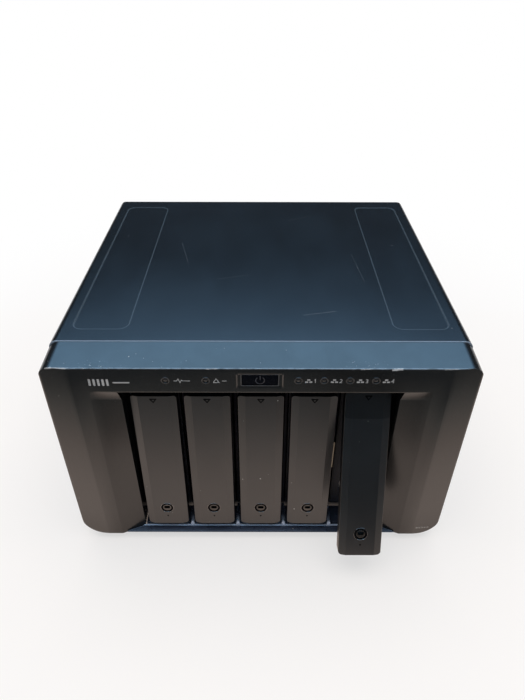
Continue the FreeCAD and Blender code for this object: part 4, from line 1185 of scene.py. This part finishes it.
# distance in front of the bezel (mm), brightness, tint
BOUNCE = (
    (0, 1.05, WARM), (10, 1.25, WARM), (22, 1.50, WARM), (44, 1.62, WARM), (64, 1.57, WARM),
    (80, 1.45, WARM), (101, 1.20, WARM), (121, 0.92, MID), (134, 0.73, EVEN),
    (144, 0.57, EVEN), (152, 0.44, EVEN), (165, 0.29, EVEN), (182, 0.19, COOL),
    (215, 0.14, COOL), (400, 0.15, COOL))
BOUNCE_REACH = 400.0
BOUNCE_PEAK = 2.2           # brightness that the ramp's 1 stands for


def build_bounce_sheet():
    """Lies on the floor, seen only in reflections: warm near the unit, dark further out."""
    card = sheet("bounce_sheet", -2.5, 2.5, -3.0, Y0 + 0.30, 0.0004)
    m = Mat("bounce_tone")
    x, y, _ = m.axes(m.mm)
    away = m.minus(FRONT_Y, y)
    ramp = m.node("ValToRGB")
    m.link(m.math("DIVIDE", away, BOUNCE_REACH, clamp=True), ramp.inputs[0])
    fill_ramp(ramp.color_ramp, [(d / BOUNCE_REACH, [v / BOUNCE_PEAK * c for c in tint])
                                for d, v, tint in BOUNCE])
    side = m.size(x)
    # the x on the front face that mirrors this spot, narrowing with distance
    front_x = m.math("DIVIDE", side, m.plus(1.0, m.math("DIVIDE", away, 238.0)))
    wing = m.times(m.remap(front_x, span=(98.0, 109.0)),
                   m.remap(away, span=(112.0, 168.0), to=(0.34, -0.15)))
    wide = m.plus(wing, m.remap(front_x, span=(42.0, 62.0), to=(1.0, 0.94)))
    # dimmer ahead of the fifth bay, and beside the unit
    fifth = m.times(m.remap(x, span=(50.0, 72.0)), m.remap(away, span=(86.0, 112.0)))
    fifth = m.times(fifth, m.remap(x, span=(150.0, 110.0)))
    beside = m.times(m.remap(side, span=(126.0, 150.0)), m.remap(away, span=(12.0, -8.0)))
    gain = m.times(wide, m.without(fifth, amount=0.6))
    gain = m.times(gain, m.without(beside, amount=0.75))
    glow = m.node("Emission")
    m.link(ramp.outputs[0], glow.inputs["Color"])
    m.link(m.times(gain, BOUNCE_PEAK), glow.inputs["Strength"])
    m.link(glow.outputs[0], m.t.nodes["Material Output"].inputs["Surface"])
    card.data.materials.append(m.m)
    for ray in ("camera", "diffuse", "transmission", "volume_scatter", "shadow"):
        setattr(card, "visible_" + ray, False)


# ------------------------------------------------------------------ world, light, camera

# upward part of the ray direction, rgb
SOFT_SKY = ((0.0, (0.30, 0.30, 0.30)), (0.5, (0.34, 0.36, 0.38)), (1.0, (0.42, 0.45, 0.48)))
GLOSSY_SKY = (
    (0.0, (0.07, 0.075, 0.085)), (0.47, (0.04, 0.048, 0.06)), (0.53, (0.06, 0.085, 0.12)),
    (0.59, (0.45, 0.78, 1.3)), (0.67, (1.5, 2.9, 4.5)), (0.75, (2.9, 5.2, 7.6)),
    (0.86, (1.8, 3.0, 4.2)), (1.0, (0.8, 1.1, 1.4)))


def build_world():
    """A plain backdrop for the camera, one sky for reflections and a softer one for the rest."""
    world = bpy.data.worlds.new("studio")
    scene.world = world
    world.use_nodes = True
    tree = world.node_tree
    nodes, link = tree.nodes, tree.links.new
    background = nodes["Background"]
    coord = nodes.new("ShaderNodeTexCoord")
    split = nodes.new("ShaderNodeSeparateXYZ")
    link(coord.outputs["Generated"], split.inputs[0])

    def sky(stops, peak):
        ramp = nodes.new("ShaderNodeValToRGB")
        link(split.outputs["Z"], ramp.inputs[0])
        fill_ramp(ramp.color_ramp, [(p, [v / peak for v in rgb]) for p, rgb in stops])
        gain = nodes.new("ShaderNodeVectorMath")
        gain.operation = "SCALE"
        link(ramp.outputs[0], gain.inputs[0])
        gain.inputs["Scale"].default_value = peak
        return gain.outputs[0]

    def by_ray(kind, other):
        mix = nodes.new("ShaderNodeMix")
        mix.data_type = "RGBA"
        link(is_ray(tree, kind), mix.inputs["Factor"])
        link(other, mix.inputs["A"])
        return mix

    soft = sky(SOFT_SKY, peak=1.0)
    sharp = sky(GLOSSY_SKY, peak=8.0)
    glossy = by_ray("Glossy", soft)
    link(sharp, glossy.inputs["B"])
    seen = by_ray("Camera", glossy.outputs["Result"])
    seen.inputs["B"].default_value = (0.97, 0.97, 0.97, 1)
    link(seen.outputs["Result"], background.inputs["Color"])
    background.inputs["Strength"].default_value = 1.0


def build_light():
    place, target = Vector((0.0, 0.1, 2.2)), Vector((0, 0.1, 0))
    lamp = bpy.data.lights.new("overhead", "AREA")
    lamp.shape = "SQUARE"
    lamp.size = 2.4
    lamp.energy = 44
    lamp.color = (1.0, 0.97, 0.94)
    ob = bpy.data.objects.new("overhead", lamp)
    scene.collection.objects.link(ob)
    ob.location = place
    ob.rotation_euler = (target - place).to_track_quat("-Z", "Y").to_euler()
    ob.visible_glossy = False


def build_camera():
    """Looks down on the front from above."""
    data = bpy.data.cameras.new("camera")
    data.sensor_fit = "VERTICAL"
    data.sensor_height = 24.0
    data.lens = 19.1657142857
    data.shift_x = 0.00162857142857
    data.shift_y = -0.00281428571429
    camera = bpy.data.objects.new("camera", data)
    scene.collection.objects.link(camera)
    camera.location = P(0.19, -238.35, 346.17)
    pitch, roll, yaw = 90 - 36.6, -0.09, 0.06
    camera.rotation_euler = (math.radians(pitch), math.radians(roll), math.radians(yaw))
    scene.camera = camera


dress_cad_pieces()
build_bezel()
build_cover()
build_sill()
build_handles()
build_spring()
build_button()
build_button_sign()
build_lamps()
build_signs()
build_floor()
build_bounce_sheet()
build_world()
build_light()
build_camera()
scene.view_settings.view_transform = "Standard"
scene.view_settings.look = "None"
scene.view_settings.exposure = 0.0
